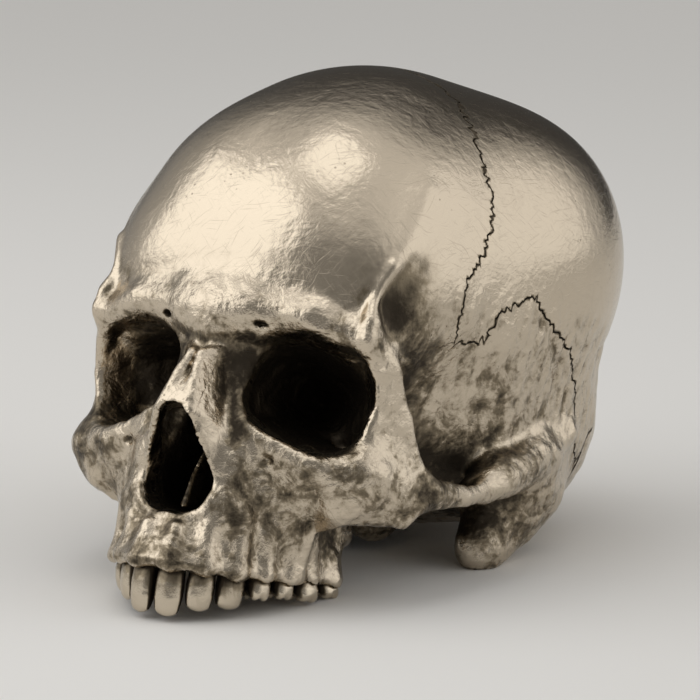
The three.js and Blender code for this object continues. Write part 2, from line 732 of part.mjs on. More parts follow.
const foramenGeometry = new THREE.CylinderGeometry(1, 1, skull.height, foramenSideCount);
foramenGeometry.rotateX(Math.PI / 2);
foramenGeometry.scale(foramen.width / 2, foramen.length / 2, 1);
const foramenMiddle = cutShares.occipitalFront * skull.length + foramen.rim + foramen.length / 2;
foramenGeometry.translate(0, foramenMiddle, foramenTopShare * skull.height - skull.height / 2);
const earGeometry = new THREE.CylinderGeometry(earHole.radius, earHole.radius, earHole.depth, earSideCount);
earGeometry.rotateZ(Math.PI / 2);
earGeometry.translate(...place([earHoleShares.x, earHoleShares.y, earHoleShares.z]));
earGeometry.translate(-earHole.depth / 2, 0, 0);
const ear = solidOf(earGeometry);
const openings = surfaceOf(brainHollow, evenNet(net.inside))
  .add(solidOf(foramenGeometry))
  .add(ear)
  .add(ear.mirror([1, 0, 0]));

// The plain bones come from a casting on a wide net, and the others from one on a close net
const rest = {
  plain: surfaceOf(wholeSkull, evenNet(net.crown)).subtract(openings),
  close: surfaceOf(wholeSkull, faceNet).subtract(openings),
};
const pieces = {};

function takeAway(solid) {
  rest.plain = rest.plain.subtract(solid);
  rest.close = rest.close.subtract(solid);
}

// Parts a bone from what is left of the casting, with the glue line between them
function part(name, region, from = "close") {
  pieces[name] = mainBody(rest[from].intersect(region(0)));
  takeAway(region(casting.seam));
}

const spots = toothSpots();
for (const spot of spots) {
  const socket = toothSolid(spot, tooth.clearance);
  rest.close = rest.close.subtract(socket).subtract(socket.mirror([1, 0, 0]));
}
const septum = (m) => prism("side", vomerShares, [-nose.septum / 2, nose.septum / 2], m);
pieces.vomer = septum(0);
takeAway(septum(tooth.clearance));

part("nasal_left", regions.nasal);
part("nasal_right", mirrored(regions.nasal));
part("frontal_bone", regions.frontal);
part("parietal_left", regions.parietal, "plain");
part("parietal_right", mirrored(regions.parietal), "plain");
part("temporal_left", regions.temporal);
part("temporal_right", mirrored(regions.temporal));
part("occipital_bone", regions.occipital, "plain");
part("zygomatic_left", regions.cheek);
part("zygomatic_right", mirrored(regions.cheek));
part("maxilla_left", regions.jaw);
part("maxilla_right", mirrored(regions.jaw));
pieces.sphenoid = mainBody(rest.close);

const toothNames = [];
for (const spot of spots) {
  for (const side of ["left", "right"]) {
    const name = spot.kind.name + "_" + side;
    const solid = toothSolid(spot, 0);
    pieces[name] = side === "left" ? solid : solid.mirror([1, 0, 0]);
    toothNames.push(name);
  }
}

// The lowest point of some pieces once the head is tilted back, as [y, z] with the ears level
function lowest(names, tilt) {
  let found = [0, 0, Infinity];
  for (const name of names) {
    const { vertProperties: v } = pieces[name].getMesh();
    for (let n = 0; n < v.length; n += 3) {
      const height = v[n + 2] * Math.cos(tilt) - v[n + 1] * Math.sin(tilt);
      if (height < found[2]) found = [v[n + 1], v[n + 2], height];
    }
  }
  return found;
}

// The skull stands on its teeth and its mastoids, which tilts the face up
const mastoidNames = ["temporal_left", "temporal_right"];
let tilt = 0;
for (let step = 0; step < tiltStepCount; step++) {
  const [frontY, frontZ] = lowest(toothNames, tilt);
  const [backY, backZ] = lowest(mastoidNames, tilt);
  tilt = Math.atan2(backZ - frontZ, backY - frontY);
}
const ground = lowest(mastoidNames, tilt)[2] + casting.grind;
const belowGround = new THREE.BoxGeometry(skull.length * 2, skull.length * 2, skull.length);
belowGround.translate(0, 0, ground - skull.length / 2);
belowGround.rotateX(tilt);
const grinder = solidOf(belowGround);
for (const name of [...toothNames, ...mastoidNames]) pieces[name] = pieces[name].subtract(grinder);

const object = new THREE.Group();
const stance = new THREE.Group();
stance.rotation.x = -tilt;
object.add(stance);
for (const [name, solid] of Object.entries(pieces)) {
  const { vertProperties, triVerts } = solid.getMesh();
  const geometry = new THREE.BufferGeometry();
  geometry.setAttribute("position", new THREE.BufferAttribute(vertProperties, 3));
  geometry.setIndex(new THREE.BufferAttribute(triVerts, 1));
  const finish = toothNames.includes(name) ? metal.tooth : metal.bone;
  const mesh = new THREE.Mesh(geometry, new THREE.MeshStandardMaterial(finish));
  mesh.name = name;
  stance.add(mesh);
}

// The origin is on the ground under the middle of the skull
stance.updateMatrixWorld(true);
const middle = new THREE.Box3().setFromObject(stance, true).getCenter(new THREE.Vector3());
stance.position.set(0, -middle.y, -ground);

export default object;
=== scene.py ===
import math
from concurrent.futures import ThreadPoolExecutor

import bmesh
import bpy
import numpy as np
from mathutils import Matrix, Vector


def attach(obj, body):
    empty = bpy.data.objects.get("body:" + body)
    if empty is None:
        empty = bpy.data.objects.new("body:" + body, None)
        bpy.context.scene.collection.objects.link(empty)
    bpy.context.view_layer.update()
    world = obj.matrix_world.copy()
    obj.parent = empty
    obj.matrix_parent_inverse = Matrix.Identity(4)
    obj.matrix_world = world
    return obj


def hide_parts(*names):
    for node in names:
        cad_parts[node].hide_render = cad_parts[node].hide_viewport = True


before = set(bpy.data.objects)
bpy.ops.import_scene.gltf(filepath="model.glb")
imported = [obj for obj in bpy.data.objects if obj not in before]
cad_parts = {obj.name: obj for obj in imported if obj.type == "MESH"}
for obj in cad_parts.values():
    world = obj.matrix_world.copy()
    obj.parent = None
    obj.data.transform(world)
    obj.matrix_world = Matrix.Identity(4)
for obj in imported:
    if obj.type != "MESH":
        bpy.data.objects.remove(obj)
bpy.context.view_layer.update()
print("frame loaded:", len(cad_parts), "nodes")

# Forms are worked out in millimetres with the ears level: x to the skull's left, the face
# towards -y, z up. Each gives a depth for many points at once, negative inside the form.


def folded(p):
    # the same places, all on the left side
    return np.concatenate([np.abs(p[:, :1]), p[:, 1:]], 1)


def egg(p, centre, radii):
    radii = np.array(radii, np.float32)
    q = (p - np.array(centre, np.float32)) / radii
    size = np.sqrt((q * q).sum(1))
    slope = np.sqrt(((q / radii) ** 2).sum(1))
    return size * (size - 1) / np.maximum(slope, 1e-6)


def alongRun(p, start, end):
    # how far along the line from start to end each point lies, and its way off that line
    start = np.array(start, np.float32)
    run = np.array(end, np.float32) - start
    t = np.clip((p - start) @ run / (run @ run), 0, 1)[:, None]
    return t, p - start - t * run


def bar(p, stops, thick, flat=(1, 1, 1)):
    # a rod through the stops that is as thick as it says at each, and flattened along the axes
    depths = []
    for start, end, startRadius, endRadius in zip(stops, stops[1:], thick, thick[1:]):
        t, off = alongRun(p, start, end)
        off = off / np.array(flat, np.float32)
        depths.append(np.sqrt((off * off).sum(1)) - startRadius - t[:, 0] * (endRadius - startRadius))
    return np.minimum.reduce(depths)


def join(a, b, reach):
    h = np.clip(0.5 + 0.5 * (b - a) / reach, 0, 1)
    return b + (a - b) * h - reach * h * (1 - h)


def keepBoth(a, b, reach):
    return -join(-a, -b, reach)


def cutAway(a, b, reach):
    return keepBoth(a, -b, reach)


def wall(p, start, end, level, reach, half, rounding=4):
    x, y, z = p.T
    dx = end[0] - start[0]
    dy = end[1] - start[1]
    t = np.clip(((x - start[0]) * dx + (y - start[1]) * dy) / (dx * dx + dy * dy), 0, 1)
    side = np.hypot(x - start[0] - t * dx, y - start[1] - t * dy) - half
    return keepBoth(side, np.abs(z - level) - reach, rounding)


def farFromTriangle(p, *corners):
    corners = [np.array(v, np.float32) for v in corners]
    normal = np.cross(corners[1] - corners[0], corners[2] - corners[0])
    over = np.ones(len(p), bool)
    squares = []
    for start, end in zip(corners, corners[1:] + corners[:1]):
        over &= (p - start) @ np.cross(normal, end - start) >= 0
        squares.append((alongRun(p, start, end)[1] ** 2).sum(1))
    flat = ((p - corners[0]) @ normal) ** 2 / (normal @ normal)
    return np.sqrt(np.where(over, flat, np.minimum.reduce(squares)))


def sheet(p, front, back, half):
    # a curved plate between two edges that have as many points each
    triangles = []
    for a, b, c, d in zip(front, back, back[1:], front[1:]):
        triangles += [(a, b, c), (a, c, d)]
    return np.minimum.reduce([farFromTriangle(p, *corners) for corners in triangles]) - half


def farFrom(p, stops):
    # distance to a chain of points
    return np.sqrt(np.minimum.reduce([(alongRun(p, *ends)[1] ** 2).sum(1) for ends in zip(stops, stops[1:])]))


def raised(depth, p, stops, height, width):
    # a soft ridge along a chain of points, or a groove where the height is below zero
    return depth - height * np.exp(-((farFrom(p, stops) / width) ** 2))


def joined(p, forms):
    # each form with its places and sizes, melted into those before it over the reach that ends its row
    depth = None
    for form, *values, reach in forms:
        own = form(p, *values)
        depth = own if depth is None else join(depth, own, reach)
    return depth


cranium = {
    "eggs": [
        (egg, (0, 8, 56), (69, 86, 72), 0),
        (egg, (18, -40, 58), (32, 37, 40), 18),
        (egg, (0, -37, 47), (53, 43, 36), 16),
        (egg, (30, -46, 48), (24.5, 28, 26), 12),
        (egg, (34, 31, 73), (37.5, 46, 45.5), 18),
        (egg, (0, 54, 26), (50, 38, 38), 18),
        (egg, (0, 4, 16), (58, 62, 36), 18),
        (egg, (38, 42, 20), (27, 36, 32), 14),
    ],
    "middleRound": 6,  # so that the two sides meet without a crease
    "undersideLevel": -14,
    "undersideSlope": 0.2,
    "undersideEven": 0.98,
    "soft": 8,
    "wall": 4.2,
}


def braincase(p):
    p = p.copy()
    p[:, 0] = np.sqrt(p[:, 0] ** 2 + cranium["middleRound"] ** 2)
    return joined(p, cranium["eggs"])


templeHollow = {"centre": (77, -38, 4), "radii": (29, 31, 37), "soft": 12}

bridge = {
    "top": (-85.2, 30),  # y and z
    "tip": (-102, 5.5),
    "arch": 2.2,
    "halfWidth": 7.6,
    "steep": 1.25,
    "steepGain": 0.35,
    "round": 3,
    "over": 6,
    "back": -66,
}


def bridgeOfNose(p):
    x, y, z = p.T
    (topY, topZ), (tipY, tipZ) = bridge["top"], bridge["tip"]
    down = np.clip((topZ - z) / (topZ - tipZ), -0.3, 1.2)
    ridge = topY + (tipY - topY) * down + bridge["arch"] * np.sin(np.clip(down, 0, 1) * np.pi)
    across = bridge["steep"] + bridge["steepGain"] * np.clip(down, 0, 1)
    roof = ridge + across * (np.sqrt(x ** 2 + bridge["round"] ** 2) - bridge["round"])
    depth = keepBoth((roof - y) / 1.5, np.abs(x) - bridge["halfWidth"], 4)
    depth = keepBoth(depth, z - topZ - bridge["over"], 4)
    return keepBoth(depth, np.maximum(tipZ - z, y - bridge["back"]), 1.2)


dentalArch = {
    "halfWidth": 29, "depth": 52, "centre": -42, "neck": -41, "slope": 0.03, "height": 23,
    "overNeck": 1.9, "lip": 0.8, "boneOut": 3.4, "boneIn": 8.5, "scale": 27, "boneBack": -38,
    "hollowed": 3, "hollowedOver": 12, "lipWidth": 3, "lipFrom": 20, "soft": 3.5,
    "palateLevel": -34, "palateBack": -30, "palateSoft": 3,
}


def archRatio(p):
    along = np.minimum(p[:, 1] - dentalArch["centre"], 0)
    return np.hypot(p[:, 0] / dentalArch["halfWidth"], along / dentalArch["depth"])


def neckLevel(y):
    front = dentalArch["centre"] - dentalArch["depth"]
    return dentalArch["neck"] + dentalArch["slope"] * (y - front)


def toothBearingBone(p):
    x, y, z = p.T
    low = neckLevel(y) - dentalArch["overNeck"]
    hollowed = dentalArch["hollowed"] * np.clip(
        (z - low - dentalArch["lipWidth"]) / dentalArch["hollowedOver"], 0, 1)
    lip = dentalArch["lip"] * np.exp(-(((z - low) / dentalArch["lipWidth"]) ** 2))
    lip = lip * np.clip(np.abs(x) / dentalArch["lipFrom"], 0, 1)
    outside = (archRatio(p) - 1) * dentalArch["scale"] - dentalArch["boneOut"] + hollowed - lip
    level = np.abs(z - low - dentalArch["height"] / 2) - dentalArch["height"] / 2
    return keepBoth(keepBoth(outside, level, dentalArch["soft"]), y - dentalArch["boneBack"], 4)


def palateHollow(p):
    inside = (archRatio(p) - 1) * dentalArch["scale"] + dentalArch["boneIn"]
    below = keepBoth(inside, p[:, 2] - dentalArch["palateLevel"], 6)
    return keepBoth(below, p[:, 1] - dentalArch["palateBack"], 1)


orbit = {
    "centre": (33.2, -80, 14.4),
    "inwards": (-0.40, 0.915, -0.02),
    "half": (19.4, 15.4),
    "depth": 44,
    "ahead": 30,
    "roll": -17,
    "taper": 1.9,
    "square": 2.9,
    "scale": 18,
    "soft": 2.2,
}
intoOrbit = np.array(orbit["inwards"]) / np.linalg.norm(orbit["inwards"])


def squareRatio(u, v, power):
    # 1 on an ellipse that is drawn out towards its corners
    return (np.abs(u) ** power + np.abs(v) ** power) ** (1 / power)


def orbitHollow(p):
    inwards = intoOrbit.astype(np.float32)
    q = p - np.array(orbit["centre"], np.float32)
    t = q @ inwards
    level = np.array([1, 0, 0]) - inwards * inwards[0]
    level = (level / np.linalg.norm(level)).astype(np.float32)
    upright = np.cross(level, inwards)
    a, b = q @ level, q @ upright
    roll = math.radians(orbit["roll"])
    shrink = np.maximum(1 - np.clip(t / orbit["depth"], 0, 1) ** orbit["taper"], 0.02)
    u = (math.cos(roll) * a + math.sin(roll) * b) / (orbit["half"][0] * shrink)
    v = (math.cos(roll) * b - math.sin(roll) * a) / (orbit["half"][1] * shrink)
    side = (squareRatio(u, v, orbit["square"]) - 1) * orbit["scale"] * shrink
    return np.maximum(side, np.maximum(t - orbit["depth"], -t - orbit["ahead"]))


nose = {
    "floor": -25.6,
    "height": 32.6,
    "heights": (0, 0.05, 0.11, 0.23, 0.34, 0.55, 0.75, 0.9, 0.97, 1),
    "halves": (6.5, 8.6, 10.2, 11.6, 11.9, 9.6, 7.2, 5.2, 3.4, 1.6),
    "narrows": 0.3,  # on the way from the front to the back
    "front": -92,
    "length": 40,
    "back": -50,
    "soft": 1.8,
}


def noseHollow(p):
    x, y, z = p.T
    t = (z - nose["floor"]) / nose["height"]
    half = np.interp(t, nose["heights"], nose["halves"]).astype(np.float32)
    half = half * (1 - nose["narrows"] * np.clip((y - nose["front"]) / nose["length"], 0, 1))
    side = (np.abs(x) - half) * 0.9
    depth = keepBoth(side, (np.abs(t - 0.5) - 0.5) * nose["height"], 4)
    return np.maximum(depth, y - nose["back"])


noseWing = {
    "rim": [(2, -91, 22), (3.4, -96, 13), (5.2, -98.2, 4), (7.4, -95.6, -2), (9.4, -93, -8),
            (11.8, -88.6, -15.5), (10.8, -87, -22)],
    "foot": [(7.5, -82, 24), (10, -82, 14), (12.6, -83, 5), (15, -84, -2), (16, -84, -8),
             (17, -83.5, -15), (17, -83.5, -22)],
    "half": 1.5,
}

cheekPlate = {
    "front": [(42, -69, -18.5), (44, -69, -8), (46.5, -66.5, 1), (49.5, -65.5, 14), (49, -69, 25),
              (46.5, -72, 34)],
    "back": [(56, -51, -18.5), (59, -45, -8), (56, -51.5, 1), (53.5, -57, 14), (50.8, -64.5, 28),
             (48.2, -72, 38)],
    "half": 2.5,
}

cheekArch = [
    (bar, [(55, -53, -10), (60.5, -41, -9), (63.5, -27, -8), (64, -14, -5), (65, -6, -1.5), (65.5, 6, 2.6)],
     [5.6, 4.2, 3, 2.8, 3, 3], (0.75, 1, 1.15), 0),
    # ledge where the arch meets the temple
    (bar, [(59, -15, -5.5), (61.5, -6, 0.4), (63.2, 6, 4.6), (64, 16, 10)], [4.4, 5.6, 5.4, 4], 5),
]

face = [
    (egg, (0, -78, 36), (14, 12, 12), 0),
    # brow and the outer pillar of the orbit
    (bar, [(12, -80, 37), (30, -79.5, 37), (46.6, -72, 32)], [5.2, 4, 3.8], 10),
    (sheet, cheekPlate["front"], cheekPlate["back"], cheekPlate["half"], 5),
    # lower rim of the orbit
    (bar, [(47, -66, -8), (34, -76, -7), (17, -81, 2)], [6, 5.5, 4.5], 6),
    # bridge and sides of the nose
    (bridgeOfNose, 6),
    (sheet, noseWing["rim"], noseWing["foot"], noseWing["half"], 4),
    (bar, [(9.5, -77.5, 24), (12.6, -80.5, 9), (14.8, -83.5, -5), (15.5, -84, -24)], [3.6, 4, 4.8, 5.6], 5),
    # body of the upper jaw
    (egg, (18, -66, -15), (17, 19, 22), 8),
    (bar, [(28, -66, -11), (46, -61.5, -8.5)], [10.5, 9.5], 8),
    (toothBearingBone, 7),
    # floor, outer and inner wall of the orbit
    (egg, (30, -58, -9), (17, 16, 8), 6),
    (wall, (47, -62), (27, -37), 14, 20, 1.8, 6),
    (wall, (8.4, -80), (8.4, -46), 5.5, 22, 2.6, 4),
    (joined, cheekArch, 5),
]

mastoid = [
    (bar, [(54, 24, 0), (51, 12, -22)], [18, 8.5], (0.75, 1, 1), 0),
    (bar, [(51, 14, -22), (54, 26, -14), (55, 36, -3)], [7.5, 7.5, 9], 6),
    # root of the cheek arch
    (bar, [(64, -4, 0), (64.5, 8, 4.6), (65, 22, 10), (66, 32, 18)], [2.6, 3, 3, 2.5], 8),
]

skullBase = [
    (bar, [(0, -2, -12), (0, -38, -4)], [11, 12], 0),
    (egg, (12, 10, -20), (6, 12, 6), 4),
    # plates behind the palate
    (bar, [(13, -38, -6), (15, -36, -30)], [4, 3], (0.7, 1.6, 1), 5),
    (bar, [(15, -38, -10), (27, -33, -25)], [4, 3], (0.7, 1.2, 1.2), 3),
]

# Ridges and grooves that run over the surface: the chain, the height and the width
surfaceLines = [
    # temporal line
    ([(48.8, -75.8, 33), (48.2, -75.2, 38.6), (47.2, -72.7, 44), (48.3, -70.4, 50.7), (49.8, -67.5, 56.4)],
     1.5, 2.2),
    ([(49.8, -67.5, 56.4), (50.7, -63.2, 62), (50, -57, 72), (48, -50, 82)], 0.5, 3.2),
    # zygomaticoalveolar crest
    ([(47, -67, -15), (43.4, -66.5, -19.5), (38.4, -66, -24.5), (33, -64, -31), (31, -64, -39)], 2.3, 2.8),
    # front margin of the tear duct
    ([(12.2, -79, 18), (14.5, -79.5, 8), (18, -80.5, 0)], 1.1, 1.4),
    # canine fossa
    ([(25, -84, -14), (27, -82, -20)], -2.6, 8),
    # beside the nose
    ([(9, -80, 26), (9.4, -83.5, 17), (10.5, -85.5, 9), (12.5, -87, 1)], -1.2, 4.6),
    # behind the crest
    ([(40, -60, -24), (36, -58, -38)], -1.5, 5),
    # behind the temporal line
    ([(52.1, -69.9, 34.6), (49.9, -66.5, 42.7), (51.6, -64.8, 49.7), (53.2, -60.5, 57.2)], -1.3, 4),
    # splits in the scale of the temple
    ([(69.3, 3.5, 46.6), (68.9, 8.7, 42.4), (67.7, 10.5, 38), (66.9, 17.5, 33.6)], -0.9, 1.1),
    ([(68.4, 16, 39.4), (67.3, 23.8, 34.4), (66.6, 25.8, 28.7), (66.9, 30.2, 24.7)], -0.9, 1.1),
    ([(68.7, -4.1, 51), (68.9, 0.4, 47.1), (68.2, 1.2, 43)], -0.7, 1.1),
    # groove of the mastoid
    ([(54, 6, -24), (58, 22, -16), (58, 34, -8)], -0.8, 3),
]
holes = {
    "places": [
        ((16.6, -84.8, 33.4), (1.9, 2.4, 0.9)),
        ((25, -85, -6.5), (2.4, 4, 1.8)),
        ((51.5, -64, -3), (1.0, 2.4, 1.0)),
        ((62, 2, -7), (9, 2.8, 3.2)),
    ],
    "soft": 0.8,
}


def wholeSkull(p):
    p = folded(p)
    underside = cranium["undersideLevel"] - p[:, 2] - cranium["undersideSlope"] * p[:, 1]
    depth = keepBoth(braincase(p), underside * cranium["undersideEven"], cranium["soft"])
    depth = cutAway(depth, egg(p, templeHollow["centre"], templeHollow["radii"]), templeHollow["soft"])
    for forms in (face, mastoid, skullBase):
        depth = join(depth, joined(p, forms), cranium["soft"])
    for line in surfaceLines:
        depth = raised(depth, p, *line)
    depth = cutAway(depth, palateHollow(p), dentalArch["palateSoft"])
    depth = cutAway(depth, orbitHollow(p), orbit["soft"])
    depth = cutAway(depth, noseHollow(p), nose["soft"])
    for centre, radii in holes["places"]:
        depth = cutAway(depth, egg(p, centre, radii), holes["soft"])
    return depth


teethOfOneSide = [
    # name, width, depth, crown, root, form
    ("incisor_central", 7.8, 6.8, 16.0, 11, "blade"),
    ("incisor_lateral", 7.6, 6.3, 13.4, 12, "blade"),
    ("canine", 8.0, 7.6, 11.8, 17, "blade"),
    ("premolar_first", 7.6, 8.8, 8.4, 12, "block"),
    ("premolar_second", 7.6, 9.0, 7.4, 10, "block"),
    ("molar_first", 9.6, 10.4, 7.4, 9, "block"),
    ("molar_second", 9.4, 10.4, 5.9, 7, "block"),
]
toothShape = {
    "space": 1.3,
    "bulge": 0.48,  # the crowns swell almost to their neighbours
    "lean": 0.22,  # of the root towards the palate
    "peg": 6.5,
    "square": 2.15,
    # width and depth on the way from the biting edge to the root
    "heights": (-0.05, 0.0, 0.06, 0.15, 0.35, 0.6, 0.85, 1.0, 1.2, 1.8),
    "blade": {"wide": (0.42, 0.56, 0.72, 0.85, 0.98, 1.0, 0.94, 0.86, 0.8, 0.5),
              "deep": (0.2, 0.32, 0.46, 0.62, 0.86, 0.98, 0.9, 0.72, 0.55, 0.36), "edge": 2.2},
    "block": {"wide": (0.6, 0.78, 0.9, 0.97, 1.0, 0.98, 0.9, 0.84, 0.78, 0.6),
              "deep": (0.6, 0.76, 0.88, 0.95, 0.96, 0.9, 0.74, 0.6, 0.5, 0.4), "edge": 3.2},
    "cusp": 0.5,
    "cuspGroove": 1.3,
    "cuspGrooveWidth": 1.6,
}
rootRidge = {"height": 1.5, "canineHeight": 2.7, "widthShare": 0.33, "proud": 0.6}


def toothSpots():
    turn = np.linspace(0, np.pi / 2, 400)
    x = dentalArch["halfWidth"] * np.sin(turn)
    y = dentalArch["centre"] - dentalArch["depth"] * np.cos(turn)
    walk = np.concatenate([[0], np.cumsum(np.hypot(np.diff(x), np.diff(y)))])
    found = []
    start = toothShape["space"] / 2
    for name, width, depth, crown, root, form in teethOfOneSide:
        middle = start + width / 2
        start += width + toothShape["space"]
        if middle < walk[-1]:
            n = int(np.searchsorted(walk, middle))
            along = np.array([x[n] - x[n - 1], y[n] - y[n - 1]])
            place = (x[n], y[n])
        else:
            along = np.array([0.0, 1.0])
            place = (dentalArch["halfWidth"], dentalArch["centre"] + middle - walk[-1])
        found.append({
            "name": name, "place": place, "along": along / np.linalg.norm(along), "width": width,
            "depth": depth, "crown": crown, "root": root, "form": form, "neck": float(neckLevel(place[1]))})
    return found


spots = toothSpots()
for spot in spots:
    x, y = spot["place"]
    outX, outY = spot["along"][1], -spot["along"][0]
    out = spot["depth"] / 2 + rootRidge["proud"]
    foot = (x + outX * out, y + outY * out, spot["neck"] - 1)
    head = (x + outX * (out - 0.5) - x * 0.04, y + outY * (out - 0.5), spot["neck"] + spot["root"])
    height = rootRidge["canineHeight"] if spot["name"] == "canine" else rootRidge["height"]
    surfaceLines.append(([foot, head], height, spot["width"] * rootRidge["widthShare"]))


def toothForm(p, spot):
    x, y = spot["place"]
    along, neck, shape = spot["along"], spot["neck"], toothShape[spot["form"]]
    q = p[:, :2] - np.array([x, y], np.float32)
    a = q @ along.astype(np.float32)
    o = q[:, 0] * along[1] - q[:, 1] * along[0] + toothShape["lean"] * np.clip(p[:, 2] - neck, 0, 9)
    h = (p[:, 2] - (neck - spot["crown"])) / spot["crown"]
    w = np.interp(h, toothShape["heights"], shape["wide"]) * (spot["width"] / 2 + toothShape["bulge"])
    d = np.interp(h, toothShape["heights"], shape["deep"]) * spot["depth"] / 2
    side = (squareRatio(a / w, o / d, toothShape["square"]) - 1) * np.minimum(w, d)
    lower = neck - spot["crown"] - p[:, 2]
    if spot["form"] == "block":
        # cusps with a groove between them
        lower = lower + toothShape["cuspGroove"] * np.exp(-((o / toothShape["cuspGrooveWidth"]) ** 2))
        lower = lower + toothShape["cusp"] * np.cos(a / spot["width"] * 4 * np.pi) + 0.2
    upper = p[:, 2] - neck - toothShape["peg"]
    return keepBoth(keepBoth(side, lower, shape["edge"]), upper, 1.5).astype(np.float32)


# The casting: one hollow shell that stands level on its teeth and on the bumps behind the ears
casting = {
    "tilt": 15.792175,  # degrees that the ear line is tipped by
    "place": (-0.448112, 31.096545),  # y and z of the middle between the ears, millimetres
    "foramen": (29, 35, 19),  # width, length and middle of the opening for the spine
    "foramenTop": 4,
    "foramenSoft": 1.5,
    "innerSoft": 6,
    "socketGap": 0.3,
    "socketSoft": 0.5,
    "socketsFrom": (-28, -26),  # y and z beyond which there may be a socket
    "space": ((0, -112, -66), (84, 104, 138)),  # corners of the left half
    "toothRoom": (8, 3, 9),  # beside a tooth, below its edge and above its neck
    "grain": 0.9,  # spacing of the net of points
    "toothGrain": 0.45,
}
tiltCos = math.cos(math.radians(casting["tilt"]))
tiltSin = math.sin(math.radians(casting["tilt"]))


def aboveGround(p):
    return -p[:, 1] * tiltSin + p[:, 2] * tiltCos + casting["place"][1]


def toStand(p):
    y = p[:, 1] * tiltCos + p[:, 2] * tiltSin + casting["place"][0]
    return np.stack([p[:, 0], y, aboveGround(p)], 1)


def toothHere(p, spot):
    return np.maximum(toothForm(p, spot), -aboveGround(p))


def hollowSkull(p):
    p = folded(p)
    x, y, z = p.T
    outside = wholeSkull(p)
    inner = keepBoth(outside, braincase(p), casting["innerSoft"]) + cranium["wall"]
    depth = np.maximum(outside, -inner)
    width, length, middle = casting["foramen"]
    opening = np.hypot(x / (width / 2), (y - middle) / (length / 2)) - 1
    below = np.maximum(opening * width / 2, z - casting["foramenTop"])
    depth = cutAway(depth, below, casting["foramenSoft"])
    near = (z < casting["socketsFrom"][1]) & (y < casting["socketsFrom"][0])
    if near.any():
        sockets = np.minimum.reduce([toothForm(p[near], spot) for spot in spots])
        depth[near] = cutAway(depth[near], sockets - casting["socketGap"], casting["socketSoft"])
    return np.maximum(depth, -aboveGround(p))


pool = ThreadPoolExecutor(4)


def measured(form, points, chunk=60000):
    points = np.asarray(points, np.float32)
    pieces = [points[n:n + chunk] for n in range(0, len(points), chunk)]
    return np.concatenate(list(pool.map(form, pieces))).astype(np.float32)


def sampled(form, low, high, step, block=4, margin=1.7):
    # the form's depth on a net of points, worked out only near its surface
    count = [int(math.ceil((high[k] - low[k]) / step / block)) * block + 1 for k in range(3)]
    axes = [low[k] + step * np.arange(count[k]) for k in range(3)]
    middles = [a[:-1].reshape(-1, block).mean(1) + step / 2 for a in axes]
    shape = [len(m) for m in middles]
    coarse = measured(form, np.stack(np.meshgrid(*middles, indexing="ij"), -1).reshape(-1, 3)).reshape(shape)
    volume = np.kron(np.where(coarse < 0, -50, 50).astype(np.float32), np.ones((block,) * 3, np.float32))
    volume = np.pad(volume, [(0, 1)] * 3, mode="edge")
    active = np.argwhere(np.abs(coarse) < step * block * 0.87 * margin)
    corner = np.stack(np.meshgrid(*[np.arange(block + 1)] * 3, indexing="ij"), -1).reshape(-1, 3)
    index = (active[:, None, :] * block + corner[None]).reshape(-1, 3)
    key = np.unique((index[:, 0] * count[1] + index[:, 1]) * count[2] + index[:, 2])
    index = np.stack([key // (count[1] * count[2]), key // count[2] % count[1], key % count[2]], 1)
    places = np.stack([axes[k][index[:, k]] for k in range(3)], 1)
    volume[index[:, 0], index[:, 1], index[:, 2]] = measured(form, places)
    return volume, axes


def window(grid, starts):
    # all but one sample along each axis, from the first or from the second; None keeps an axis whole
    return grid[tuple(slice(None) if s is None else slice(s, n - 1 + s) for s, n in zip(starts, grid.shape))]


cellCorners = [(i, j, k) for i in (0, 1) for j in (0, 1) for k in (0, 1)]


def cornersInside(inside):
    return sum(window(inside, corner).astype(np.int8) for corner in cellCorners)


def mended(volume, filled=-0.02):
    # fills a sample wherever the surface would touch itself along an edge or at a corner
    for _ in range(30):
        inside = volume < 0
        found = 0

        def fill(where, step):
            spot = np.argwhere(where) + step
            volume[spot[:, 0], spot[:, 1], spot[:, 2]] = filled
            return len(spot)

        for a, b in ((0, 1), (0, 2), (1, 2)):
            starts = [None] * 3
            grid = {}
            for starts[a], starts[b] in ((0, 0), (0, 1), (1, 0), (1, 1)):
                grid[starts[a], starts[b]] = window(inside, starts)
            step = [int(k == b) for k in range(3)]
            found += fill(grid[0, 0] & grid[1, 1] & ~grid[0, 1] & ~grid[1, 0], step)
            found += fill(~grid[0, 0] & ~grid[1, 1] & grid[0, 1] & grid[1, 0], 0)
        inside = volume < 0
        total = cornersInside(inside)
        for c in ((0, 0, 0), (1, 0, 0), (0, 1, 0), (0, 0, 1)):
            near, far = window(inside, c), window(inside, [1 - k for k in c])
            found += fill(near & far & (total == 2), (1 - c[0], c[1], c[2]))
            found += fill(~near & ~far & (total == 6), c)
        if not found:
            return volume
    print("some samples still touch:", found)
    return volume


